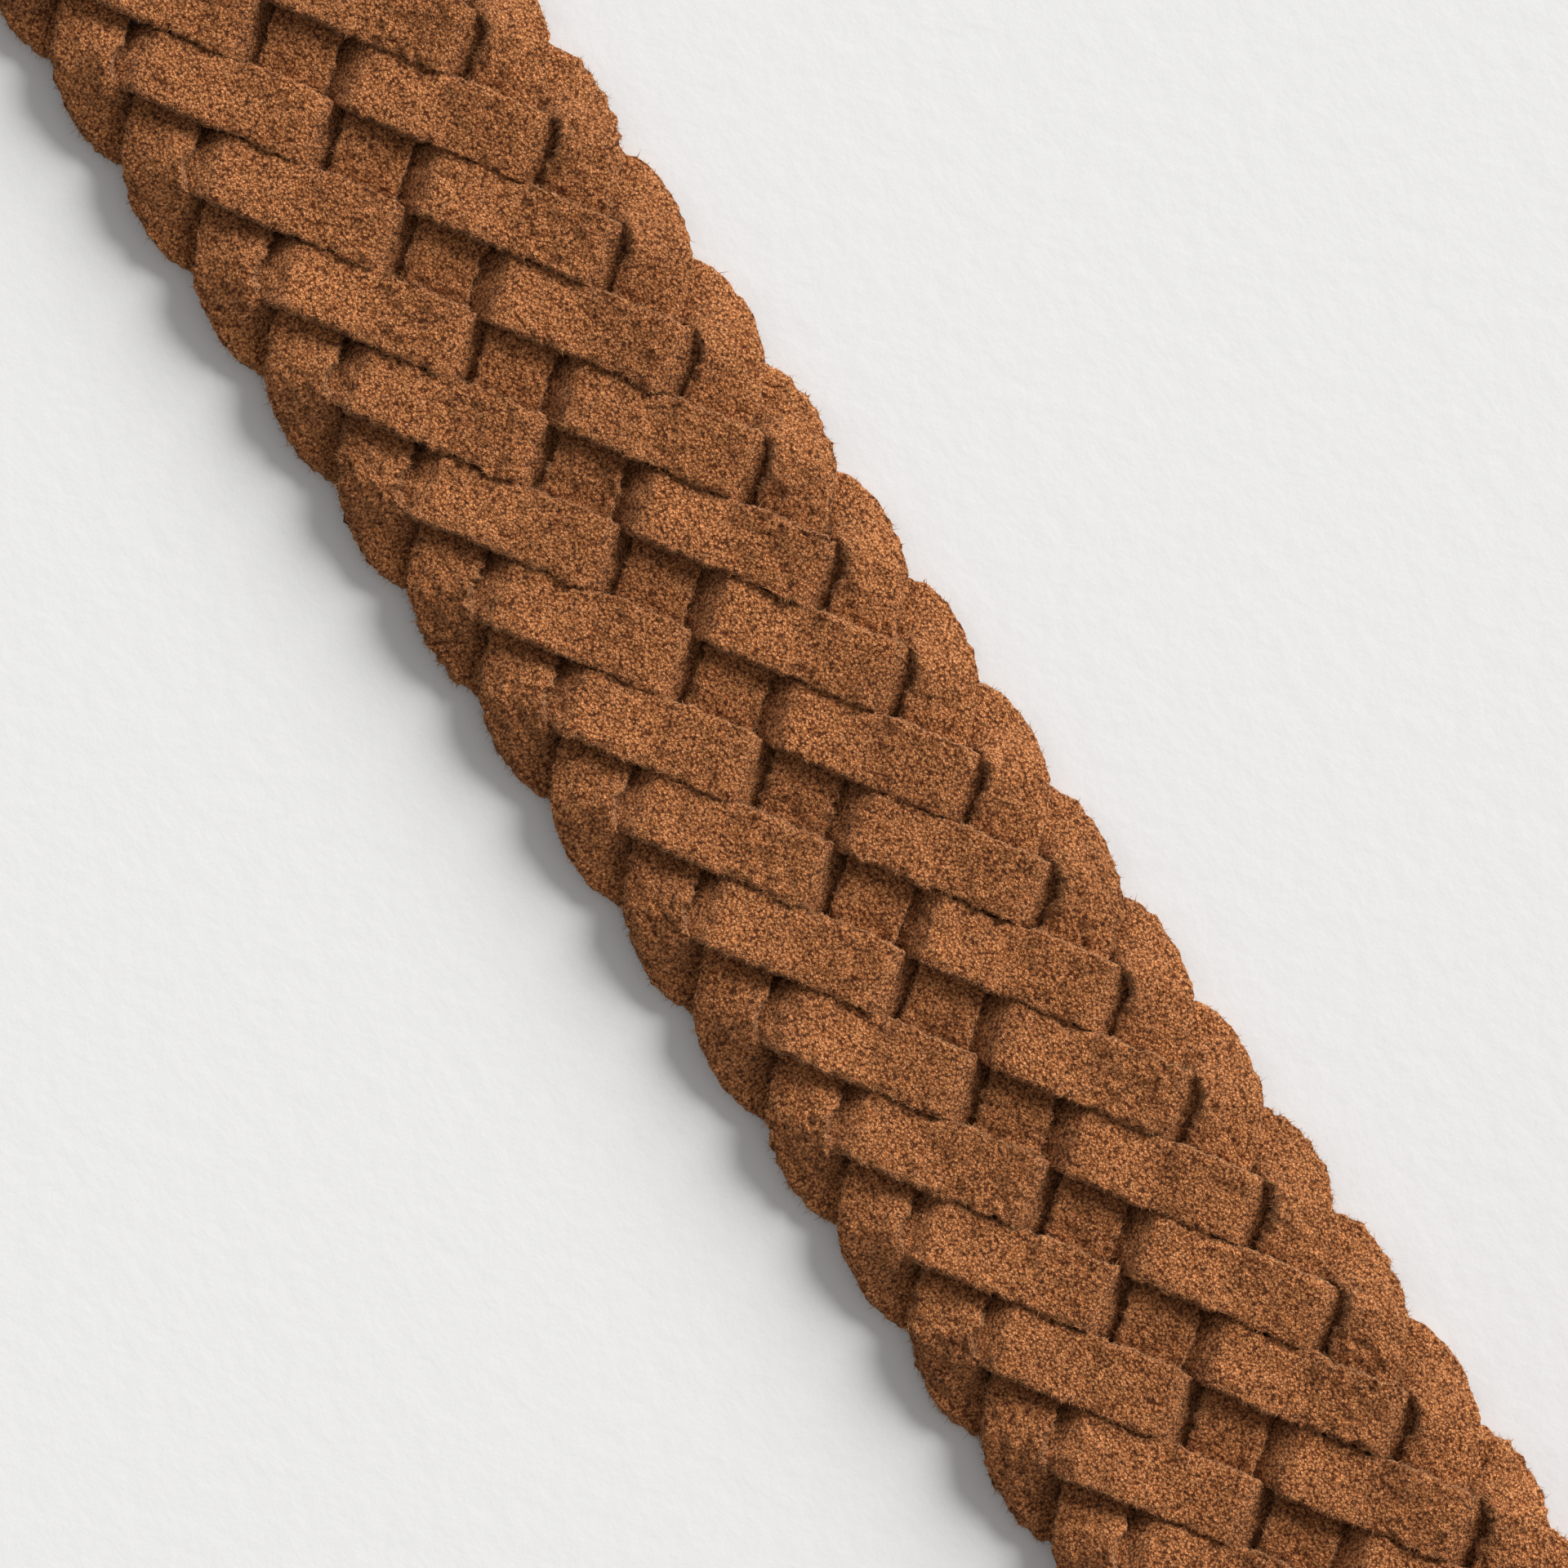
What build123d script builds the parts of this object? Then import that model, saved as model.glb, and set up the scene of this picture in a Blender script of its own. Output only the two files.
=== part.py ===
"""A braided suede belt, laid face up: buckle and first stretch flat, the rest rolled up.

Frame: X runs along the strap from the buckle's bar towards the tip, Y across it, Z up.
The origin is on the resting plane, straight under the buckle's bar. Millimetres.
"""
from build123d import *
from math import acos, cos, degrees, pi, radians, sin, sqrt, tan
import os

os.makedirs("parts", exist_ok=True)

# ---- the braid: one flat plait of eight suede laces ----
strap_width = 35.0
lace_count = 8
lace_thickness = 1.2
layer_gap = 0.4            # daylight between laces that cross
lace_side_gap = 0.8        # daylight between laces that lie side by side
climb_gap = 0.15           # a lace starts to climb this far clear of the next crossing
out_angle = radians(34.3)  # a lace going out, from the -Y edge to the +Y edge
back_angle = radians(52.9)  # a lace coming back, steeper across the strap
turn_share = 0.747         # radius of a lace's turn at the edge, as a share of the pitch
edge_climb_share = 0.1163   # the climbs beside a turn stand this much nearer to it
station_step = 3.4         # longest stretch of strap between two sections of a lace

# ---- how the strap lies ----
flat_length = 218.0        # from the foot of the chape's ramp to the roll
roll_radius = 38.0         # first half turn of the roll, to the strap's middle
roll_gap = 0.5             # daylight in the roll where the thick tip passes the braid
half_turns = 8
ramp_radius = 110.0        # gentle bend from the chape down to the resting plane

# ---- leather at the two ends ----
chape_length = 60.0
chape_leather = 1.2
tab_side = 0.5             # the leather ends are this much wider than the braid, each side
end_play = 0.1             # daylight between the braid and the leather that wraps it
bar_play = 0.3             # least daylight between the bar and the leather round it
fold_reach = 1.5           # the fold's centre stands this far in front of the bar
braid_start = 18.0
slot_side_gap = 1.1        # prong to the slot's edge
slot_end = 15.5
chape_corner = 5.0
tip_length = 74.0
tip_leather = 1.0
tip_corner = 12.0
tip_rim = 3.0              # the braid stops this far inside the tip's outline

# ---- keeper, the fixed loop that holds the tip ----
keeper_width = 12.0
keeper_leather = 1.3
keeper_middle = 46.0
keeper_room = 6.4          # height of its opening above the chape
keeper_foot = 4.7          # how far its feet reach in under the upper leather
keeper_side_gap = 0.2
keeper_corner = 2.6
keeper_foot_corner = 0.3

# ---- thread ----
stitch_length = 2.4
stitch_pitch = 3.3
thread = 0.7
stitch_inset = 2.4         # stitch line to the leather's edge
groove_depth = 0.5
groove_width = 0.98
groove_start = braid_start + 1
thread_lift = 0.1          # keeps the straight stitches off the curved tip

# ---- buckle ----
bar_radius = 2.0
bar_fit = 0.02
buckle_side_gap = 0.5      # leather to the frame's rails
rail_width = 6.0
front_rail = 7.0
window_length = 31.0       # bar's axis to the front rail
frame_height = 4.8
lug_wall = 1.3             # metal over the bar
lug_reach = 3.4            # the lugs end this far behind the bar's axis
lug_length = 9.0
frame_corner = 8.0
frame_round = 1.1
edge_break = 0.4
prong_width = 4.4
prong_running = 0.06
prong_wall = 1.3
prong_root = 3.0           # thickness of the prong at its shoulder
prong_point = 1.7
prong_seat = 0.6           # depth of the notch that the point lies in
prong_seat_gap = 0.1
prong_overhang = 1.6       # the point stops this far short of the frame's nose
prong_hump = 0.6           # the shank's rise over the eye, a third of the way along
prong_thinning = 0.85      # thickness where the shank meets the front rail, as a share

# ---- worked out: the braid ----
tab_width = strap_width + 2 * tab_side
level = lace_thickness + layer_gap
braid_thickness = 3 * lace_thickness + 2 * layer_gap
column_share = tan(out_angle) * tan(back_angle) / (tan(out_angle) + tan(back_angle))
reach_share = (4 * column_share - turn_share * tan((out_angle + back_angle) / 2) * sin(out_angle)
               + turn_share * (1 - cos(out_angle)) + sin(out_angle) / 2)
pitch = (strap_width + lace_side_gap) / 2 / reach_share
lace_width = pitch * sin(out_angle) - lace_side_gap
column = pitch * column_share
corner_reach = 4 * column
turn_radius = turn_share * pitch
turn_tangent = turn_radius * tan((out_angle + back_angle) / 2)
period = lace_count * pitch
climb_half = ((pitch * sin(back_angle) - lace_width) / 2 - climb_gap) * sin(out_angle)
edge_climb_shift = edge_climb_share * pitch
column_levels = [-1, 1, 1, -1, 1, 1, -1]
dive_turn = (0.60, 0.76)   # share of the turn over which a lace dives at the -Y edge
rise_turn = (0.25, 0.42)   # and climbs back at the +Y edge
turn_steps = 6

# ---- worked out: how the strap lies ----
wrap_half = max(braid_thickness / 2 + end_play, bar_radius + bar_play)
chape_mid = wrap_half + chape_leather
strap_mid = braid_thickness / 2
roll_step = (braid_thickness / 2 + wrap_half + tip_leather + roll_gap) / 2
ramp_angle = acos(1 - (chape_mid - strap_mid) / (2 * ramp_radius))
legs = [(chape_length, 0.0), (ramp_radius * ramp_angle, -ramp_angle),
        (ramp_radius * ramp_angle, ramp_angle), (flat_length, 0.0)]
legs += [(pi * (roll_radius - i * roll_step), pi) for i in range(half_turns)]
strap_length = sum(length for length, turn in legs)
tip_start = strap_length - tip_length
print(f"strap {strap_length:.1f} mm from bar to tip, braid {braid_thickness:.2f} mm thick")
print(f"lace {lace_width:.2f} wide, pitch {pitch:.2f}, turn radius {turn_radius:.2f}")


def spot(s):
    """Place and slope of the strap's middle, s millimetres from the bar: x, z, angle."""
    x, z, angle = 0.0, chape_mid, 0.0
    for length, turn in legs:
        part = min(s, length)
        if turn == 0.0:
            x += part * cos(angle)
            z += part * sin(angle)
        else:
            bend = turn / length
            x += (sin(angle + bend * part) - sin(angle)) / bend
            z -= (cos(angle + bend * part) - cos(angle)) / bend
            angle += bend * part
        s -= part
        if s <= 0:
            break
    return x, z, angle


def section_plane(s, v, heading, height):
    """Plane across a lace at (s, v), heading off the strap's line, height off its middle."""
    x, z, angle = spot(s)
    ahead = Vector(cos(angle), 0, sin(angle))
    up = Vector(-sin(angle), 0, cos(angle))
    side = Vector(0, 1, 0)
    across = side * cos(heading) - ahead * sin(heading)
    along = ahead * cos(heading) + side * sin(heading)
    return Plane(origin=Vector(x, v, z) + up * height, x_dir=across, z_dir=along)


def turn_stations(centre, start, stop, side, shares, depth):
    """Sections round one edge turn; depth gives the lace's level at a share of the turn."""
    found = []
    for share in sorted(set([i / turn_steps for i in range(turn_steps + 1)] + list(shares))):
        heading = start + (stop - start) * share
        s = centre[0] + side * turn_radius * sin(heading)
        v = centre[1] - side * turn_radius * cos(heading)
        found.append((s, v, heading, depth(share)))
    return found


def ramp(share, limits):
    return min(1.0, max(0.0, (share - limits[0]) / (limits[1] - limits[0])))


def lace_period():
    """Sections of one lace over a whole period, from its turn at the -Y edge."""
    leave = (turn_tangent * cos(out_angle), turn_tangent * sin(out_angle) - corner_reach)
    centre = (leave[0] - turn_radius * sin(out_angle), leave[1] + turn_radius * cos(out_angle))
    found = turn_stations(centre, -back_angle, out_angle, 1, dive_turn,
                          lambda share: -level * ramp(share, dive_turn))
    for j in range(1, len(column_levels)):
        before = column_levels[j - 1]
        after = column_levels[j]
        if before == after:
            continue
        middle = (j - 3.5) * column
        first = middle - climb_half + (edge_climb_shift if j == 1 else 0)
        last = middle + climb_half - (edge_climb_shift if j == 6 else 0)
        for v, side in ((first, before), (last, after)):
            found.append(((v + corner_reach) / tan(out_angle), v, out_angle, side * level))
    far = 2 * corner_reach / tan(out_angle)
    arrive = (far - turn_tangent * cos(out_angle), corner_reach - turn_tangent * sin(out_angle))
    centre = (arrive[0] + turn_radius * sin(out_angle), arrive[1] - turn_radius * cos(out_angle))
    found += turn_stations(centre, out_angle, -back_angle, -1, rise_turn,
                           lambda share: -level * (1 - ramp(share, rise_turn)))
    return found


def lace_stations(number):
    """All sections of one lace, from inside the chape to inside the tip."""
    one = lace_period()
    shift = (number - lace_count) * pitch
    rough = []
    while shift < strap_length:
        rough += [(s + shift, v, heading, height) for s, v, heading, height in one]
        shift += period
    fine = [rough[0]]
    for nxt in rough[1:]:
        last = fine[-1]
        pieces = max(1, int((nxt[0] - last[0]) / station_step + 0.999))
        for i in range(1, pieces + 1):
            fine.append(tuple(a + (b - a) * i / pieces for a, b in zip(last, nxt)))
    return trim(fine)


def tip_limit(v):
    """Where the braid stops inside the tip's rounded end, at v across the strap."""
    corner = max(0.0, abs(v) - (tab_width / 2 - tip_corner))
    return strap_length - tip_rim - tip_corner + sqrt(max(0.0, tip_corner ** 2 - corner ** 2))


def trim(stations):
    """Keep what lies between the chape's start of braid and the tip's limit."""
    kept = []
    for last, nxt in zip(stations, stations[1:]):
        low = last[0] - braid_start
        high = nxt[0] - braid_start
        if low < 0 < high:
            kept.append(tuple(a + (b - a) * low / (low - high) for a, b in zip(last, nxt)))
        if high <= 0:
            continue
        if nxt[0] > tip_limit(nxt[1]):
            over_last = tip_limit(last[1]) - last[0]
            over_next = tip_limit(nxt[1]) - nxt[0]
            share = over_last / (over_last - over_next)
            kept.append(tuple(a + (b - a) * share for a, b in zip(last, nxt)))
            break
        kept.append(nxt)
    return kept


# ---- the eight laces ----
for number in range(1, lace_count + 1):
    with BuildPart() as lace:
        for s, v, heading, height in lace_stations(number):
            with BuildSketch(section_plane(s, v, heading, height)):
                Rectangle(lace_width, lace_thickness)
        loft(ruled=True)
    lace.part.label = f"braid_lace_{number}"
    export_step(lace.part, f"parts/braid_lace_{number}.step")


# ---- leather that follows the strap ----
def side_line(stops, height):
    """Edges along the strap at one height off its middle, through the given stops."""
    for a, b in zip(stops, stops[1:]):
        ends = []
        for s in (a, (a + b) / 2, b):
            x, z, angle = spot(s)
            ends.append((x - sin(angle) * height, z + cos(angle) * height))
        ThreePointArc(*ends)


def curved_layer(start, stop, low, high):
    """One leather layer bent along the roll between two distances from the bar."""
    edges = [start]
    run = 0.0
    for length, turn in legs:
        run += length
        if start < run < stop:
            edges.append(run)
    edges.append(stop)
    corners = []
    for s, height in ((start, low), (start, high), (stop, low), (stop, high)):
        x, z, angle = spot(s)
        corners.append((x - sin(angle) * height, z + cos(angle) * height))
    with BuildSketch(Plane.XZ) as side_view:
        with BuildLine():
            side_line(edges, low)
            Line(corners[2], corners[3])
            side_line(edges, high)
            Line(corners[0], corners[1])
        make_face()
    extrude(side_view.sketch, amount=tab_width / 2, both=True)


def round_tip():
    """Take the two corners off the tip, square to the leather's end."""
    end = section_plane(strap_length, 0, 0, 0)
    down = Plane(origin=end.origin, x_dir=(0, 1, 0), z_dir=end.y_dir)
    for side in (-1, 1):
        with BuildSketch(down) as corner:
            with Locations((side * tab_width / 2, 0)):
                Rectangle(2 * tip_corner, 2 * tip_corner)
            with Locations((side * (tab_width / 2 - tip_corner), tip_corner),
                           (side * (tab_width / 2 - tip_corner), -tip_corner)):
                Circle(tip_corner, mode=Mode.SUBTRACT)
        extrude(corner.sketch, amount=2 * wrap_half, both=True, mode=Mode.SUBTRACT)


for name, low, high in (("tip_front", wrap_half, wrap_half + tip_leather),
                        ("tip_lining", -wrap_half - tip_leather, -wrap_half)):
    with BuildPart() as tab:
        curved_layer(tip_start, strap_length, low, high)
        round_tip()
    tab.part.label = name
    export_step(tab.part, f"parts/{name}.step")

slot_width = prong_width + 2 * slot_side_gap
with BuildPart() as chape:
    top = 2 * chape_mid
    with BuildSketch(Plane.XZ):
        with BuildLine():
            Line((chape_length, 0), (-fold_reach, 0))
            ThreePointArc((-fold_reach, 0), (-fold_reach - chape_mid, chape_mid), (-fold_reach, top))
            Line((-fold_reach, top), (chape_length, top))
            Line((chape_length, top), (chape_length, top - chape_leather))
            Line((chape_length, top - chape_leather), (-fold_reach, top - chape_leather))
            ThreePointArc((-fold_reach, top - chape_leather), (-fold_reach - wrap_half, chape_mid),
                          (-fold_reach, chape_leather))
            Line((-fold_reach, chape_leather), (chape_length, chape_leather))
            Line((chape_length, chape_leather), (chape_length, 0))
        make_face()
    extrude(amount=tab_width / 2, both=True)
    slot_reach = slot_end + fold_reach + chape_mid + 2 * slot_width
    with BuildSketch(Plane.XY.offset(-1)):
        with Locations((slot_end - slot_reach / 2, 0)):
            SlotOverall(slot_reach, slot_width)
    extrude(amount=top + 2, mode=Mode.SUBTRACT)
    end_corners = chape.edges().filter_by(Axis.Z).group_by(Axis.X)[-1]
    fillet(end_corners, chape_corner)
    groove_stop = chape_length - chape_corner
    stitch_line = tab_width / 2 - stitch_inset
    with BuildSketch(Plane.XY):
        with Locations(((groove_start + groove_stop) / 2, stitch_line),
                       ((groove_start + groove_stop) / 2, -stitch_line)):
            Rectangle(groove_stop - groove_start, groove_width)
    extrude(amount=groove_depth, mode=Mode.SUBTRACT)
chape.part.label = "chape"
export_step(chape.part, "parts/chape.step")

# ---- keeper: feet under the upper leather, sides up past its edges, bridge across ----
foot_mid = (chape_mid + lace_thickness / 2 + 2 * chape_mid - chape_leather) / 2
with BuildPart() as keeper:
    inner_side = tab_width / 2 + keeper_side_gap
    inner_top = 2 * chape_mid + keeper_room
    foot_low = foot_mid - keeper_leather / 2
    foot_tip = tab_width / 2 - keeper_foot
    with BuildSketch(Plane.YZ.offset(keeper_middle - keeper_width / 2)):
        with BuildLine():
            FilletPolyline((-foot_tip, foot_low + keeper_leather), (-inner_side, foot_low + keeper_leather),
                           (-inner_side, inner_top), (inner_side, inner_top),
                           (inner_side, foot_low + keeper_leather), (foot_tip, foot_low + keeper_leather),
                           radius=[keeper_foot_corner, keeper_corner, keeper_corner,
                                   keeper_foot_corner])
            Line((foot_tip, foot_low + keeper_leather), (foot_tip, foot_low))
            outer_side = inner_side + keeper_leather
            FilletPolyline((foot_tip, foot_low), (outer_side, foot_low),
                           (outer_side, inner_top + keeper_leather),
                           (-outer_side, inner_top + keeper_leather),
                           (-outer_side, foot_low), (-foot_tip, foot_low),
                           radius=[keeper_leather, keeper_corner + keeper_leather,
                                   keeper_corner + keeper_leather, keeper_leather])
            Line((-foot_tip, foot_low), (-foot_tip, foot_low + keeper_leather))
        make_face()
    extrude(amount=keeper_width)
keeper.part.label = "keeper"
export_step(keeper.part, "parts/keeper.step")


# ---- thread ----
def stitch_row(first, last, avoid=()):
    """Middles of the stitches between two distances from the bar, clear of a stretch."""
    count = int((last - first) / stitch_pitch)
    start = (first + last - (count - 1) * stitch_pitch) / 2
    row = [start + i * stitch_pitch for i in range(count)]
    return [s for s in row if not avoid or not avoid[0] < s < avoid[1]]


def cross_row():
    """Places of the stitches of a row across the strap."""
    count = int(2 * (stitch_line - stitch_pitch) / stitch_pitch)
    return [(i - (count - 1) / 2) * stitch_pitch for i in range(count)]


def lay_stitch(s, v, height, rise, across=False, length=stitch_length):
    """A stitch lying on a leather face: rise is its thickness, with the sign of its side."""
    x, z, angle = spot(s)
    up = Vector(-sin(angle), 0, cos(angle))
    line = Vector(0, 1, 0) if across else Vector(cos(angle), 0, sin(angle))
    base = Plane(origin=Vector(x, v, z) + up * height, x_dir=line, z_dir=up)
    with BuildSketch(base) as outline:
        SlotOverall(length, thread)
    extrude(outline.sketch, amount=rise)


half_thread = thread / 2
keeper_start = keeper_middle - keeper_width / 2
keeper_stop = keeper_middle + keeper_width / 2
with BuildPart() as chape_stitches:
    for s in stitch_row(groove_start, groove_stop, (keeper_start, keeper_stop)):
        for side in (-1, 1):
            lay_stitch(s, side * stitch_line, chape_mid, half_thread)
            lay_stitch(s, side * stitch_line, groove_depth - chape_mid, -half_thread)
    for v in cross_row():
        lay_stitch(chape_length - stitch_inset, v, chape_mid, half_thread, across=True)
chape_stitches.part.label = "chape_stitches"
export_step(chape_stitches.part, "parts/chape_stitches.step")

with BuildPart() as keeper_stitches:
    for s in stitch_row(keeper_start, keeper_stop):
        for side in (-1, 1):
            lay_stitch(s, side * stitch_line, chape_mid, half_thread)
            lay_stitch(s, side * stitch_line, groove_depth - chape_mid, -half_thread)
keeper_stitches.part.label = "keeper_stitches"
export_step(keeper_stitches.part, "parts/keeper_stitches.step")

tip_face = wrap_half + tip_leather + thread_lift
inner_length = stitch_length * (1 - tip_face / (roll_radius - (half_turns - 1) * roll_step))
with BuildPart() as tip_stitches:
    for s in stitch_row(tip_start, strap_length - tip_corner):
        for side in (-1, 1):
            lay_stitch(s, side * stitch_line, tip_face, half_thread, length=inner_length)
            lay_stitch(s, side * stitch_line, -tip_face, -half_thread)
    for v in cross_row():
        lay_stitch(tip_start + stitch_inset, v, tip_face, half_thread, across=True)
tip_stitches.part.label = "tip_stitches"
export_step(tip_stitches.part, "parts/tip_stitches.step")

# ---- buckle: a cast frame, open at the heel, closed by a steel bar ----
inner_half = tab_width / 2 + buckle_side_gap
outer_half = inner_half + rail_width
nose = -(window_length + front_rail)
bar_height = chape_mid
lug_height = bar_height + bar_radius + lug_wall
with BuildPart() as buckle_frame:
    with BuildSketch(Plane.XZ):
        with BuildLine():
            FilletPolyline((lug_reach, lug_height), (lug_reach, 0), (nose, 0), (nose, frame_height),
                           (lug_reach - 2 * lug_length, frame_height),
                           (lug_reach - lug_length, lug_height), close=True,
                           radius=[2 * frame_round, edge_break, edge_break, frame_round,
                                   frame_corner, frame_corner])
        make_face()
    extrude(amount=outer_half, both=True)
    with BuildSketch(Plane.XY):
        RectangleRounded(-2 * nose, 2 * outer_half, frame_corner)
    extrude(amount=lug_height, mode=Mode.INTERSECT)
    with BuildSketch(Plane.XY):
        RectangleRounded(2 * window_length, 2 * inner_half, frame_corner - rail_width)
    extrude(amount=lug_height, mode=Mode.SUBTRACT)
    with BuildSketch(Plane.XZ):
        with Locations((0, bar_height)):
            Circle(bar_radius + bar_fit)
    extrude(amount=outer_half, both=True, mode=Mode.SUBTRACT)
    with BuildSketch(Plane.XY.offset(frame_height - prong_seat)):
        with Locations((-window_length - front_rail / 2, 0)):
            Rectangle(front_rail + 2, prong_width + 2 * prong_seat_gap)
    extrude(amount=lug_height, mode=Mode.SUBTRACT)
buckle_frame.part.label = "buckle_frame"
export_step(buckle_frame.part, "parts/buckle_frame.step")

with BuildPart() as buckle_bar:
    with BuildSketch(Plane.XZ):
        with Locations((0, bar_height)):
            Circle(bar_radius)
    extrude(amount=outer_half - frame_round / 2, both=True)
buckle_bar.part.label = "buckle_bar"
export_step(buckle_bar.part, "parts/buckle_bar.step")

# ---- prong: an eye round the bar and a bent shank that lies on the front rail ----
eye_outer = bar_radius + prong_running + prong_wall
seat_height = frame_height - prong_seat + prong_seat_gap
hump_height = bar_height + eye_outer + prong_hump
prong_tip = nose + prong_overhang
with BuildPart() as prong:
    with BuildSketch(Plane.XZ):
        with BuildLine():
            Spline((0, bar_height + eye_outer), (-window_length / 3, hump_height),
                   (-window_length, seat_height + prong_root * prong_thinning),
                   (prong_tip, seat_height + prong_point), tangents=((-1, 0), (-1, -0.35)))
            Line((prong_tip, seat_height + prong_point), (prong_tip, seat_height))
            Line((prong_tip, seat_height), (-window_length + 1, seat_height))
            Spline((-window_length + 1, seat_height), (-window_length / 3, hump_height - prong_root),
                   (0, bar_height), tangents=((1, 0), (1, -0.3)))
            Line((0, bar_height), (0, bar_height + eye_outer))
        make_face()
        with Locations((0, bar_height)):
            Circle(eye_outer)
            Circle(bar_radius + prong_running, mode=Mode.SUBTRACT)
    extrude(amount=prong_width / 2, both=True)
prong.part.label = "prong"
export_step(prong.part, "parts/prong.step")
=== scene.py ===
# %% [markdown]
# # A braided suede belt
# The belt is one flat plait of eight suede laces, with a leather end folded round the
# buckle's bar, a leather tip, a fixed keeper and a cast buckle. It lies face up: its first
# stretch is flat and the rest is rolled up. The rigid frame is loaded first, and every
# piece below is made around it, in metres.

# %% Load the frame
import math
import bmesh
import bpy
import numpy as np
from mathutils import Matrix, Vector


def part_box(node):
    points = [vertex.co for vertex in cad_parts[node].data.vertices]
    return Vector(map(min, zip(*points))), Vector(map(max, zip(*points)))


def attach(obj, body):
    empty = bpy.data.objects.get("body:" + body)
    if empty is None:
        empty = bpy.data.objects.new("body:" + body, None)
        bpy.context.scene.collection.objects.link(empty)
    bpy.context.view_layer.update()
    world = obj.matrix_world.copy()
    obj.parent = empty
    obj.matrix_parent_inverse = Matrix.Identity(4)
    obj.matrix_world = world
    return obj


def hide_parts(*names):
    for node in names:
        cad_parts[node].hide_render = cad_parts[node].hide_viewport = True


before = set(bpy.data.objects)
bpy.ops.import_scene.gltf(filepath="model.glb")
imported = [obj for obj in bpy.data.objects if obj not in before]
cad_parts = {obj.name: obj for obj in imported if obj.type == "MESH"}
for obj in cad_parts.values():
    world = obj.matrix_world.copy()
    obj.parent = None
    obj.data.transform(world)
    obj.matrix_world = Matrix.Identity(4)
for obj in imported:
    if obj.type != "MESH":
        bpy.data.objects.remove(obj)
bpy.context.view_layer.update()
MM = 0.001
rng = np.random.default_rng(8)

# %% [markdown]
# ## The plait's plan
# Eight laces cross each other on their way from edge to edge. A lace goes out at a shallow
# angle, turns at the far edge, and comes back at a steeper one. All eight follow the same
# path, each one pitch further along the strap, so one path describes the whole plait. Its
# sizes follow from the strap's width and the two angles.

# %% One lace's path, seen from above
STRAP_WIDTH = 35.0 * MM
LACES = 8
LACE_THICKNESS = 1.5 * MM
SIDE_GAP = 0.5 * MM
OUT_ANGLE = math.radians(32.8)
BACK_ANGLE = math.radians(53.5)
TURN_SHARE = 0.59
SWELL = 0.30 * MM             # a soft lace is a little wider than its share of the strap
TURN_LIFT = 0.010 * MM        # how hard a turn lifts a lace's inner edge, each round
PATH_STEP = 0.5 * MM
ACROSS = 13
OVER_UNDER = np.array([-1, 1, 1, -1, 1, 1, -1])   # an outgoing lace at its seven crossings

out_slope = math.tan(OUT_ANGLE)
back_slope = math.tan(BACK_ANGLE)
half_bend = (OUT_ANGLE + BACK_ANGLE) / 2
column_share = out_slope * back_slope / (out_slope + back_slope)
reach_share = (4 * column_share - TURN_SHARE * math.tan(half_bend) * math.sin(OUT_ANGLE)
               + TURN_SHARE * (1 - math.cos(OUT_ANGLE)) + math.sin(OUT_ANGLE) / 2)
pitch = (STRAP_WIDTH + SIDE_GAP) / 2 / reach_share
lace_width = pitch * math.sin(OUT_ANGLE) + SWELL
turn_radius = TURN_SHARE * pitch
column = pitch * column_share
period = LACES * pitch
corner = 4 * column
tangent = turn_radius * math.tan(half_bend)
print(f"pitch {pitch / MM:.2f} mm, lace {lace_width / MM:.2f} mm wide")


# %% Its straights and turns
def unit(angle):
    """The direction at that angle, seen from above."""
    return np.array([math.cos(angle), math.sin(angle)])


def arc_points(centre, side, headings):
    """Points of a turn to the left (side 1) or the right (-1) where the lace has those headings."""
    return centre + side * turn_radius * np.stack([np.sin(headings), -np.cos(headings)], 1)


def lace_plan():
    """Places, headings and leg (0 out, 1 back) of a lace at even steps over one period."""
    leave = np.array([0, -corner]) + tangent * unit(OUT_ANGLE)
    far = np.array([2 * corner / math.tan(OUT_ANGLE), corner])
    arrive = far - tangent * unit(OUT_ANGLE)
    depart = far + tangent * unit(-BACK_ANGLE)
    home = np.array([period, -corner]) - tangent * unit(-BACK_ANGLE)
    turn = turn_radius * (OUT_ANGLE + BACK_ANGLE)
    out_run = np.linalg.norm(arrive - leave)
    back_run = np.linalg.norm(home - depart)
    total = 2 * turn + out_run + back_run
    count = int(round(total / PATH_STEP))
    u = np.arange(count) * total / count
    place = np.zeros((count, 2))
    heading = np.zeros(count)
    first = u < turn
    heading[first] = -BACK_ANGLE + u[first] / turn_radius
    near_centre = leave + turn_radius * np.array([-math.sin(OUT_ANGLE), math.cos(OUT_ANGLE)])
    place[first] = arc_points(near_centre, 1, heading[first])
    out = (u >= turn) & (u < turn + out_run)
    heading[out] = OUT_ANGLE
    place[out] = leave + (u[out] - turn)[:, None] * unit(OUT_ANGLE)
    second = (u >= turn + out_run) & (u < 2 * turn + out_run)
    heading[second] = OUT_ANGLE - (u[second] - turn - out_run) / turn_radius
    far_centre = arrive + turn_radius * np.array([math.sin(OUT_ANGLE), -math.cos(OUT_ANGLE)])
    place[second] = arc_points(far_centre, -1, heading[second])
    back = u >= 2 * turn + out_run
    heading[back] = -BACK_ANGLE
    place[back] = depart + (u[back] - 2 * turn - out_run)[:, None] * unit(-BACK_ANGLE)
    leg = np.where((u > turn / 2) & (u < 1.5 * turn + out_run), 0, 1)
    return place, heading, leg, total


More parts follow.
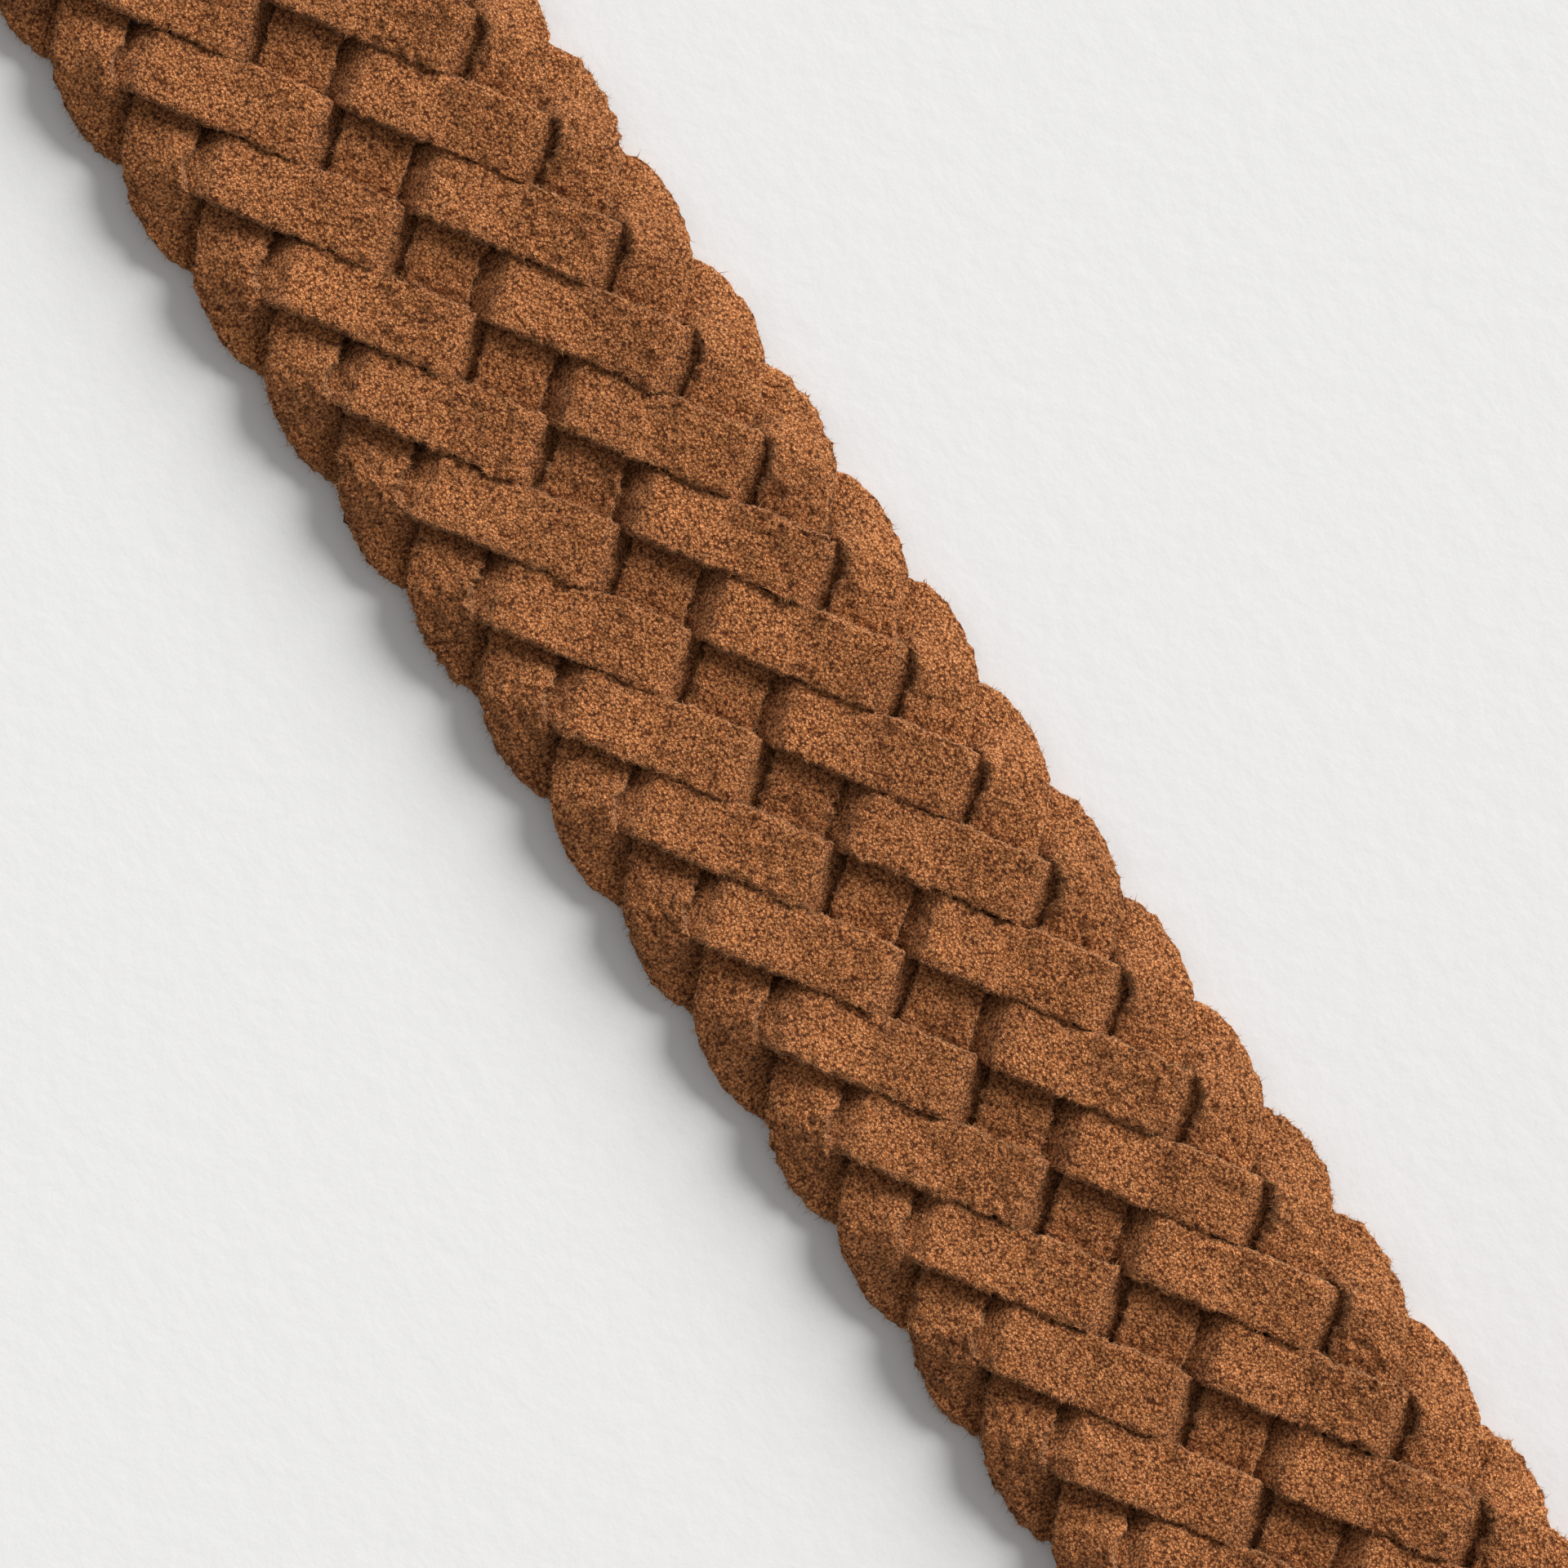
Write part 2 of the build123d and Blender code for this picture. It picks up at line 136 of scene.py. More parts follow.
plan_place, plan_heading, plan_leg, lap_length = lace_plan()
rows = len(plan_place)
offsets = np.linspace(-lace_width / 2, lace_width / 2, ACROSS)
plan_s = plan_place[:, :1] - np.sin(plan_heading)[:, None] * offsets
plan_v = plan_place[:, 1:] + np.cos(plan_heading)[:, None] * offsets
print(f"a lace travels {lap_length / MM:.1f} mm in each {period / MM:.1f} mm of strap")

# %% [markdown]
# ## Letting the laces press on each other
# Drawn at two fixed heights, a plait looks like a diagram. In a real one each lace bends as
# little as it can, tilts where a neighbour lifts one edge, and dents what it crosses. So the
# heights are found by relaxation: the lace is smoothed like a springy strip, and wherever
# two laces would share the same space they are pushed apart by the lace's thickness. Each
# section keeps a height, a tilt and a slight cupping.

# %% Find which lace lies on which
def crossings():
    """Pairs of points of the path that lie above each other once it is shifted by k pitches."""
    found = []
    line_s = np.concatenate([plan_place[:, 0] + shift for shift in (-period, 0, period)])
    line_v = np.tile(plan_place[:, 1], 3)
    cosines = np.tile(np.cos(plan_heading), 3)
    sines = np.tile(np.sin(plan_heading), 3)
    step = lap_length / rows
    for k in range(1, LACES):
        for i in range(rows):
            ds = ((plan_s[i] - k * pitch) % period)[:, None] - line_s
            dv = plan_v[i][:, None] - line_v
            along = ds * cosines + dv * sines
            across = dv * cosines - ds * sines
            near = (np.abs(along) <= 0.75 * step) & (np.abs(across) < lace_width / 2)
            for j in range(ACROSS):
                hits = np.nonzero(near[j])[0]
                hits = hits[np.argsort(np.abs(along[j][hits]))]
                taken = []
                for hit in hits:
                    if any(abs(hit - other) < 12 for other in taken):
                        continue
                    taken.append(hit)
                    slot_across = (across[j][hit] / lace_width + 0.5) * (ACROSS - 1)
                    found.append((i, j, k, hit % rows, along[j][hit] / step, slot_across))
    pairs = np.array(found)
    mine = pairs[:, 0].astype(int)
    theirs = pairs[:, 3].astype(int)
    return pairs[plan_leg[mine] != plan_leg[theirs]]


pairs = crossings()
mine_i, mine_j, shift_k, their_i = (pairs[:, c].astype(int) for c in range(4))
crossing_no = np.where(plan_leg[mine_i] == 0, shift_k, LACES - shift_k)
over = np.where(plan_leg[mine_i] == 0, 1.0, -1.0) * OVER_UNDER[crossing_no - 1]
print(f"{len(pairs)} points lie over or under another lace")

# %% Relax the heights
def relax(rounds=3000, spring=0.05, pull=0.02, settle=0.002):
    """Height, tilt and cupping of the lace's sections after the laces have made room."""
    part = pairs[:, 4]
    row_a = (their_i + np.where(part < 0, -1, 0)) % rows
    row_b = (row_a + 1) % rows
    row_share = np.where(part < 0, 1 + part, part)
    col = np.clip(pairs[:, 5], 0, ACROSS - 1 - 1e-9)
    col_a = np.floor(col).astype(int)
    col_share = col - col_a
    me = mine_i * ACROSS + mine_j
    them = [row_a * ACROSS + col_a, row_a * ACROSS + col_a + 1,
            row_b * ACROSS + col_a, row_b * ACROSS + col_a + 1]
    weights = [(1 - row_share) * (1 - col_share), (1 - row_share) * col_share,
               row_share * (1 - col_share), row_share * col_share]
    size = rows * ACROSS
    tilt_shape = np.linspace(-1, 1, ACROSS)
    cup_shape = tilt_shape ** 2 - np.mean(tilt_shape ** 2)
    state = np.zeros((3, rows))
    fade = np.array([settle, 4 * settle, 0.03])[:, None]
    curl = np.gradient(np.unwrap(plan_heading)) * turn_radius / (lap_length / rows) * TURN_LIFT
    for _ in range(rounds):
        bend = np.roll(state, 1, 1) + np.roll(state, -1, 1) - 2 * state
        state = state - spring * (np.roll(bend, 1, 1) + np.roll(bend, -1, 1) - 2 * bend)
        state[:2] += pull / 2 * (np.roll(state, 1, 1) + np.roll(state, -1, 1) - 2 * state)[:2]
        state *= 1 - fade
        state[1] += curl
        z = (state[0][:, None] + state[1][:, None] * tilt_shape + state[2][:, None] * cup_shape).ravel()
        below = sum(z[t] * w for t, w in zip(them, weights))
        lack = np.maximum(LACE_THICKNESS - over * (z[me] - below), 0)
        push = over * lack / 2
        moved = np.bincount(me, push, size)
        count = np.bincount(me, lack > 0, size)
        for t, w in zip(them, weights):
            moved -= np.bincount(t, push * w, size)
            count += np.bincount(t, w * (lack > 0), size)
        shift = np.where(count > 0.3, moved / np.maximum(count, 0.3), 0).reshape(rows, ACROSS)
        state[0] += 1.3 * shift.mean(1)
        state[1] += 1.3 * (shift * tilt_shape).sum(1) / (tilt_shape ** 2).sum()
        state[2] += 0.6 * (shift * cup_shape).sum(1) / (cup_shape ** 2).sum()
    print(f"deepest overlap left {lack.max() / MM:.2f} mm")
    return state


heights = relax()
covered = np.zeros((rows, ACROSS), bool)
covered[mine_i[over < 0], mine_j[over < 0]] = True
lowest = heights[0].min() - LACE_THICKNESS / 2
highest = heights[0].max() + LACE_THICKNESS / 2
print(f"plait {(highest - lowest) / MM:.2f} mm thick, from {lowest / MM:.2f} to {highest / MM:.2f}")

# %% [markdown]
# ## How the strap lies
# The strap's middle line runs flat from the buckle's bar, comes down a gentle ramp at the end
# of the leather, lies along the resting plane, and then goes round in half turns of
# shrinking radius. A point of the plait is placed by its distance along that line, its
# distance across, and its height off it.

# %% Lengths along the strap
CHAPE_LENGTH = 60.0 * MM
CHAPE_MIDDLE = 3.5 * MM
STRAP_MIDDLE = 2.2 * MM
RAMP_RADIUS = 110.0 * MM
FLAT_LENGTH = 218.0 * MM
ROLL_RADIUS = 38.0 * MM
ROLL_STEP = 3.0 * MM
HALF_TURNS = 8
TIP_LENGTH = 74.0 * MM
TAB_WIDTH = 36.0 * MM

ramp_angle = math.acos(1 - (CHAPE_MIDDLE - STRAP_MIDDLE) / (2 * RAMP_RADIUS))
legs = [(CHAPE_LENGTH, 0.0), (RAMP_RADIUS * ramp_angle, -ramp_angle),
        (RAMP_RADIUS * ramp_angle, ramp_angle), (FLAT_LENGTH, 0.0)]
legs += [(math.pi * (ROLL_RADIUS - i * ROLL_STEP), math.pi) for i in range(HALF_TURNS)]
strap_length = sum(length for length, turn in legs)
roll_start = sum(length for length, turn in legs[:4])
tip_start = strap_length - TIP_LENGTH


# %% The strap's line
def line_points(s):
    """x, z and slope of the strap's middle line at distances s from the bar."""
    s = np.asarray(s, float)
    x0, z0, angle0, start = 0.0, CHAPE_MIDDLE, 0.0, 0.0
    x, z, angle = np.zeros_like(s), np.zeros_like(s), np.zeros_like(s)
    for number, (length, turn) in enumerate(legs):
        last = number == len(legs) - 1
        here = (s >= start) & ((s < start + length) | last) if number else (s < length)
        part = s[here] - start
        if turn == 0.0:
            x[here] = x0 + part * math.cos(angle0)
            z[here] = z0 + part * math.sin(angle0)
            angle[here] = angle0
            x0, z0 = x0 + length * math.cos(angle0), z0 + length * math.sin(angle0)
        else:
            bend = turn / length
            x[here] = x0 + (np.sin(angle0 + bend * part) - math.sin(angle0)) / bend
            z[here] = z0 - (np.cos(angle0 + bend * part) - math.cos(angle0)) / bend
            angle[here] = angle0 + bend * part
            x0 += (math.sin(angle0 + turn) - math.sin(angle0)) / bend
            z0 -= (math.cos(angle0 + turn) - math.cos(angle0)) / bend
            angle0 += turn
        start += length
    return x, z, angle


def place(s, v, height):
    """Points at distance s along the strap, v across it and that height off its middle line."""
    x, z, angle = line_points(s)
    return np.stack([x - np.sin(angle) * height, np.broadcast_to(v, x.shape),
                     z + np.cos(angle) * height], -1)


def step_between(s, low, high):
    """0 before low, 1 after high, smooth between."""
    t = np.clip((s - low) / (high - low), 0, 1)
    return t * t * (3 - 2 * t)


sink = -(STRAP_MIDDLE + lowest) + 0.05 * MM


def lie_down(s):
    """The plait is thinner than its stand-in, so where it is bare it lies lower."""
    return sink * step_between(s, 0.6 * CHAPE_LENGTH, CHAPE_LENGTH + 25 * MM) * (
        1 - step_between(s, tip_start - 20 * MM, tip_start))


print(f"strap {strap_length / MM:.0f} mm from bar to tip, lowered by {-sink / MM:.2f} mm")

# %% [markdown]
# ## Suede laces
# A lace is cut from split hide, so both faces are napped and its sides are raw cuts. Each
# lace is one closed tube of sections along its path: many close together where the strap
# lies flat and is looked at, fewer inside the roll. Its edges wander a little, its faces are
# uneven like felt, and loose fibres stand out of it as tiny closed spikes.

# %% Sections and unevenness
FINE_STEP = 0.26 * MM
COARSE_STEP = 0.95 * MM
TOP_POINTS = 21
BASE_POINTS = 7
EDGE_ROUND = 0.22 * MM
SHINGLE = 0.22 * MM           # an outgoing lace's lower edge rides up on its neighbour
TURN_NARROWING = 0.30         # a lace stands up on its inner edge in a turn, and looks narrower
HAIRY_LENGTH = 50             # sections in a hairier stretch of a lace
TILT_PIVOT = 0.9 * MM         # a tilting lace turns about a line this far over its middle
ENTRY = 18.5 * MM
LEAST_HEIGHT = 0.02 * MM      # nothing sinks into what the belt lies on
FIBRES_FLAT = 9500            # loose fibres on a lace's flat stretch
FIBRES_ROLLED = 2500          # and in the roll
TIP_CORNER = 12.0 * MM
TIP_RIM = 3.4 * MM


# %% Even waves and readings along the path
def smooth_noise(shape, along, across, generator):
    """Random field with waves about that many rows and columns long, of unit spread."""
    field = generator.normal(size=shape)
    for axis, length in ((0, along), (1, across)):
        if length <= 1:
            continue
        reach = int(2 * length) + 1
        kernel = np.exp(-0.5 * (np.arange(-reach, reach + 1) / (0.5 * length)) ** 2)
        kernel /= np.sqrt((kernel ** 2).sum())
        pad = [(0, 0), (0, 0)]
        pad[axis] = (reach, reach)
        wide = np.pad(field, pad, mode="reflect" if field.shape[axis] > reach else "wrap")
        field = np.apply_along_axis(lambda line: np.convolve(line, kernel, "valid"), axis, wide)
    return field


def at_path(values, u):
    """Periodic cubic reading of a table over the path, at path lengths u."""
    t = (u / lap_length * rows) % rows
    i = np.floor(t).astype(int)
    f = (t - i).reshape((-1,) + (1,) * (values.ndim - 1))
    p0, p1, p2, p3 = (values[(i + d) % rows] for d in (-1, 0, 1, 2))
    return p1 + 0.5 * f * (p2 - p0 + f * (2 * p0 - 5 * p1 + 4 * p2 - p3 + f * (3 * (p1 - p2) + p3 - p0)))


def lace_rows(number):
    """Path lengths of one lace's sections and where they lie: s, v, heading, shape."""
    shift = (number - LACES) * pitch
    edge = ENTRY - shift
    u = edge / period * lap_length - 4 * MM
    u_stop = (strap_length - shift) / period * lap_length + 8 * MM
    table_u = np.arange(int((u_stop + 20 * MM) / (lap_length / rows))) * lap_length / rows
    table_s = at_path(plan_place[:, 0] - np.arange(rows) * period / rows, table_u)
    table_s = table_s + table_u / lap_length * period + shift
    picked = []
    while u < u_stop:
        s_here = np.interp(u, table_u, table_s)
        picked.append(u)
        u += FINE_STEP if s_here < roll_start - 4 * MM else COARSE_STEP
    u = np.array(picked)
    s = np.interp(u, table_u, table_s)
    v = at_path(plan_place[:, 1], u)
    corner_v = np.maximum(0, np.abs(v) - (TAB_WIDTH / 2 - TIP_CORNER))
    limit = strap_length - TIP_RIM - TIP_CORNER + np.sqrt(np.maximum(TIP_CORNER ** 2 - corner_v ** 2, 0))
    keep = (s > ENTRY) & (s < limit)
    return u[keep], s[keep], v[keep], at_path(plan_heading, u[keep]), at_path(heights.T, u[keep])


# %% One lace as a closed tube of sections
def ring_shape():
    """Places round a lace's section: across (-1 to 1), face (+1 top, -1 under), edge share."""
    across, side, edge = [], [], []
    for a in np.linspace(-1, 1, TOP_POINTS):
        across.append(np.sign(a) * (1 - (1 - abs(a)) ** 1.25))
        side.append(1.0)
        edge.append(0.0)
    for a, level in ((1, 0.35), (1, -0.35)):
        across.append(a)
        side.append(level)
        edge.append(1.0)
    for a in np.linspace(1, -1, BASE_POINTS):
        across.append(a)
        side.append(-1.0)
        edge.append(0.0)
    for a, level in ((-1, -0.35), (-1, 0.35)):
        across.append(a)
        side.append(level)
        edge.append(1.0)
    return np.array(across, float), np.array(side), np.array(edge)


ring_across, ring_side, ring_edge = ring_shape()
ring_count = len(ring_across)


# %% The surface of a lace
EDGE_DRIFT = 0.05      # mm, slow wander of a lace's edges
EDGE_TEAR = 0.085      # quick raggedness of its raw cuts
FELT = 0.06            # unevenness of its faces
HAIRY_FELT = 0.05      # and how much more where it is hairy
SOFT_SWELL = 0.035     # broad waves in its thickness


def lace_surface(number):
    """Vertices of one lace, row by row, with its sections' distances along the strap, their rows of the
    path, their count and hairiness.
    """
    generator = np.random.default_rng(100 + number)
    u, s, v, heading, shape = lace_rows(number)
    count = len(u)
    half_width = lace_width / 2
    drift = smooth_noise((count, 2), 26, 1, generator) * EDGE_DRIFT * MM
    ragged = smooth_noise((count, 2), 1.2, 1, generator) * EDGE_TEAR * MM
    hairy = np.clip(0.35 + 0.45 * smooth_noise((count, 1), HAIRY_LENGTH, 1, generator), 0, 1)
    ragged *= 0.75 + 0.7 * hairy
    outgoing = (np.clip((heading + BACK_ANGLE) / (OUT_ANGLE + BACK_ANGLE), 0, 1))[:, None]
    turning = TURN_NARROWING * 4 * outgoing * (1 - outgoing)
    left = half_width * (1 - turning * (v[:, None] < 0)) + drift[:, :1] + ragged[:, :1]
    right = half_width * (1 - turning * (v[:, None] > 0)) + drift[:, 1:] + ragged[:, 1:]
    m = np.where(ring_across > 0, ring_across * left, ring_across * right)
    inset = np.where(ring_edge > 0, 0, EDGE_ROUND * 0.35) * np.abs(ring_across) ** 8
    m -= np.sign(ring_across) * inset
    height = ring_side * LACE_THICKNESS / 2 * np.ones((count, 1))
    rounding = EDGE_ROUND * np.abs(ring_across) ** 7 * (np.abs(ring_side) == 1) * 0.8
    height -= np.sign(ring_side) * rounding
    lean = np.arctan2(shape[:, 1:2] - SHINGLE * outgoing ** 2, half_width)
    lie = shape[:, :1] + m * np.sin(lean) + shape[:, 2:] * ((m / half_width) ** 2 - 0.36)
    felt = smooth_noise((count, ring_count), 1.6, 1.2, generator) * (FELT + HAIRY_FELT * hairy) * MM
    swell = smooth_noise((count, ring_count), 9, 6, generator) * SOFT_SWELL * MM
    height = height + felt * np.sign(ring_side) + swell
    m = m * np.cos(lean) + (TILT_PIVOT - height) * np.sin(lean)
    height = height * np.cos(lean)
    s_all = s[:, None] - np.sin(heading)[:, None] * m
    v_all = v[:, None] + np.cos(heading)[:, None] * m
    points = place(s_all, v_all, lie + height + lie_down(s_all))
    points[..., 2] = np.maximum(points[..., 2], LEAST_HEIGHT)
    index = ((u / lap_length * rows).astype(int)) % rows
    return points, s, index, count, hairy[:, 0]


def grid_faces(count):
    """Quads between neighbouring sections, and the two closing ends."""
    a = np.arange(count - 1)[:, None] * ring_count + np.arange(ring_count)
    b = np.arange(count - 1)[:, None] * ring_count + (np.arange(ring_count) + 1) % ring_count
    return np.stack([a, b, b + ring_count, a + ring_count], -1).reshape(-1, 4)


# %% Loose fibres
FIBRE_LENGTH = (0.25, 0.50)      # mm
FIBRE_RADIUS = (0.028, 0.052)    # mm
FIBRE_LIFT = (0.12, 0.75)        # radians off the surface
LONG_FIBRES = 0.12               # share of fibres that are longer
EDGE_FIBRES = 0.45               # share that grow from the raw cuts


def fibre_spikes(points, index, hairy, number, s):
    """Loose fibres as closed three-sided spikes standing out of the faces that show."""
    generator = np.random.default_rng(300 + number)
    flat_rows = np.nonzero(s[:-1] < roll_start)[0]
    rolled_rows = np.nonzero(s[:-1] >= roll_start)[0]
    seats = []
    for row_set, number_wanted in ((flat_rows, FIBRES_FLAT), (rolled_rows, FIBRES_ROLLED)):
        row = generator.choice(row_set, 6 * number_wanted)
        row = row[generator.random(len(row)) < 0.2 + 0.8 * hairy[row]]
        col = generator.integers(0, TOP_POINTS + 3, len(row))
        at_edge = generator.random(len(row)) < EDGE_FIBRES
        edge_cols = [0, 0, 1, ring_count - 1, TOP_POINTS - 1, TOP_POINTS]
        col[at_edge] = generator.choice(edge_cols, at_edge.sum())
        across = np.clip((ring_across[col] * 0.9 + 1) / 2 * (ACROSS - 1), 0, ACROSS - 1).astype(int)
        shown = ~covered[index[row], across]
        seats.append(np.stack([row[shown], col[shown]], 1)[:number_wanted])
    row, col = np.concatenate(seats).T
    nxt = (col + 1) % ring_count
    f1, f2 = generator.random((2, len(row), 1))
    p00, p01 = points[row, col], points[row, nxt]
    p10, p11 = points[row + 1, col], points[row + 1, nxt]
    root = (p00 * (1 - f1) + p01 * f1) * (1 - f2) + (p10 * (1 - f1) + p11 * f1) * f2
    along = p10 - p00
    normal = np.cross(along, p01 - p00)
    normal /= np.linalg.norm(normal, axis=1, keepdims=True) + 1e-12
    along /= np.linalg.norm(along, axis=1, keepdims=True) + 1e-12
    sidewards = np.cross(normal, along)
    swing = generator.uniform(0, 2 * math.pi, (len(row), 1))
    lift = generator.uniform(*FIBRE_LIFT, (len(row), 1))
    lean = along * np.cos(swing) + sidewards * np.sin(swing)
    long_ones = generator.random((len(row), 1)) < LONG_FIBRES
    by_edge = (col < 2) | (col > TOP_POINTS - 3)
    length = generator.uniform(*FIBRE_LENGTH, (len(row), 1)) * MM * np.where(long_ones, 1.6, 1)
    length *= np.where(by_edge, 1.5, 1)[:, None]
    tip = root + length * (lean * np.cos(lift) + normal * np.sin(lift))
    crook = np.cross(lean, normal)
    thick = generator.uniform(*FIBRE_RADIUS, (len(row), 1)) * MM
    base = root - normal * 0.03 * MM
    corners = [base + thick * (crook * math.cos(t) + (normal * 0.6 + lean * 0.4) * math.sin(t))
               for t in (0.0, 2 * math.pi / 3, 4 * math.pi / 3)]
    verts = np.stack(corners + [tip], 1).reshape(-1, 3)
    verts = verts[np.repeat(np.minimum(tip[:, 2], base[:, 2]) > 3 * LEAST_HEIGHT, 4)]
    start = np.arange(len(verts) // 4)[:, None] * 4
    faces = np.concatenate([start + np.array(f) for f in ((0, 2, 1), (0, 1, 3), (1, 2, 3), (2, 0, 3))])
    return verts, faces


# %% Pieces from lists of points and faces
def mesh_piece(name, verts, faces):
    """A new object at the origin from plain lists of points and faces."""
    mesh = bpy.data.meshes.new(name)
    mesh.from_pydata([tuple(p) for p in verts], [], [tuple(f) for f in faces])
    mesh.update()
    piece = bpy.data.objects.new(name, mesh)
    bpy.context.collection.objects.link(piece)
    mesh.polygons.foreach_set("use_smooth", [True] * len(mesh.polygons))
    return piece


def give_values(piece, name, values):
    """A number on every vertex, for the material to read."""
    attribute = piece.data.attributes.new(name, "FLOAT", "POINT")
    attribute.data.foreach_set("value", np.asarray(values, np.float32))


def outward(piece):
    """Turn every face to point out of its closed shape."""
    shell = bmesh.new()
    shell.from_mesh(piece.data)
    bmesh.ops.recalc_face_normals(shell, faces=shell.faces)
    shell.to_mesh(piece.data)
    shell.free()


# %% The eight laces
def make_lace(number):
    """One lace with its fibres, marked for its material and handed to the frame."""
    points, s, index, count, hairy = lace_surface(number)
    body_faces = grid_faces(count).tolist()
    body_faces.append(list(range(ring_count))[::-1])
    body_faces.append([(count - 1) * ring_count + i for i in range(ring_count)])
    spikes, spike_faces = fibre_spikes(points, index, hairy, number, s)
    body = points.reshape(-1, 3)
    faces = body_faces + (spike_faces + len(body)).tolist()
    piece = mesh_piece(f"lace_{number}", np.concatenate([body, spikes]), faces)
    edge = np.tile(ring_edge, count)
    give_values(piece, "cut_edge", np.concatenate([edge, np.zeros(len(spikes))]))
    give_values(piece, "fibre", np.concatenate([np.zeros(len(body)), np.ones(len(spikes))]))
    outward(piece)
    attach(piece, "strap")
    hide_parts(f"braid_lace_{number}")
    return piece


laces = [make_lace(number) for number in range(1, LACES + 1)]
print("laces:", [sum(len(f.vertices) - 2 for f in p.data.polygons) for p in laces], "triangles")


# %% [markdown]
# ## Suede
# Split hide scatters light from a mat of short fibres and shines only as a faint sheen at a grazing
# angle. The colour comes from a fine noise at the size of a tuft over a slow drift of tone. It is painted
# dark between the tufts as painted shade, and pale at their tips, partly the fibres' own paler tips and
# partly a painted highlight. The same fine noise raises the surface, and its mottling paints the raised
# bits lighter, partly grain and partly painted highlight. Raw cut sides are pinker, and loose fibres
# paler.

# %% Material helpers
def new_material(name):
    """A node material, its tree, and its main shader."""
    material = bpy.data.materials.new(name)
    material.use_nodes = True
    tree = material.node_tree
    return material, tree, tree.nodes["Principled BSDF"]


def node(tree, kind, **values):
    """A node of that kind with its inputs or properties set by name."""
    made = tree.nodes.new(kind)
    for key, value in values.items():
        if key in made.inputs:
            made.inputs[key].default_value = value
        else:
            setattr(made, key, value)
    return made


def noise(tree, vector, scale, detail=2.0, rough=0.5, warp=0.0):
    """Cloudy values between 0 and 1; scale is in waves per metre."""
    made = node(tree, "ShaderNodeTexNoise", Scale=scale, Detail=detail, Roughness=rough,
                Distortion=warp)
    tree.links.new(vector, made.inputs["Vector"])
    return made.outputs["Fac"]


def ramp(tree, value, stops):
    """Colours between stops of (position, colour)."""
    made = tree.nodes.new("ShaderNodeValToRGB")
    marks = made.color_ramp.elements
    while len(marks) < len(stops):
        marks.new(0.5)
    for mark, (position, colour) in zip(marks, stops):
        mark.position = position
        mark.color = (*colour, 1)
    tree.links.new(value, made.inputs["Fac"])
    return made.outputs["Color"]


def mix(tree, share, first, second, blend="MIX"):
    """Mix two colours; each may be a socket or a plain colour, and share a socket or a number."""
    made = tree.nodes.new("ShaderNodeMix")
    made.data_type = "RGBA"
    made.blend_type = blend
    for socket, value in ((made.inputs[0], share), (made.inputs[6], first), (made.inputs[7], second)):
        if isinstance(value, bpy.types.NodeSocket):
            tree.links.new(value, socket)
        elif isinstance(value, (int, float)):
            socket.default_value = value
        else:
            socket.default_value = (*value, 1)
    return made.outputs[2]


def attribute(tree, name):
    """The number that give_values put on every vertex."""
    return node(tree, "ShaderNodeAttribute", attribute_name=name).outputs["Fac"]


def bump(tree, shader, height, strength, distance):
    """Fine relief: height 0 to 1 stands for that distance."""
    made = node(tree, "ShaderNodeBump", Strength=strength, Distance=distance)
    tree.links.new(height, made.inputs["Height"])
    tree.links.new(made.outputs["Normal"], shader.inputs["Normal"])


# %% The suede
TUFT = 4200.0          # tufts per metre
DRIFT = 140.0          # slow changes of tone per metre


def voronoi(tree, vector, scale, smooth):
    """Distance to the nearest of scattered points, about 0 to 0.8, rounded off where two meet."""
    made = node(tree, "ShaderNodeTexVoronoi", feature="SMOOTH_F1", Scale=scale)
    made.inputs["Smoothness"].default_value = smooth
    tree.links.new(vector, made.inputs["Vector"])
    return made.outputs["Distance"]


def warped(tree, vector, scale, amount):
    """The same coordinates pushed about by a noise."""
    push = node(tree, "ShaderNodeTexNoise", Scale=scale, Detail=1.0)
    tree.links.new(vector, push.inputs["Vector"])
    centred = node(tree, "ShaderNodeVectorMath", operation="SUBTRACT")
    centred.inputs[1].default_value = (0.5, 0.5, 0.5)
    tree.links.new(push.outputs["Color"], centred.inputs[0])
    sized = node(tree, "ShaderNodeVectorMath", operation="SCALE", Scale=amount)
    tree.links.new(centred.outputs[0], sized.inputs[0])
    moved = node(tree, "ShaderNodeVectorMath", operation="ADD")
    tree.links.new(vector, moved.inputs[0])
    tree.links.new(sized.outputs[0], moved.inputs[1])
    return moved.outputs[0]


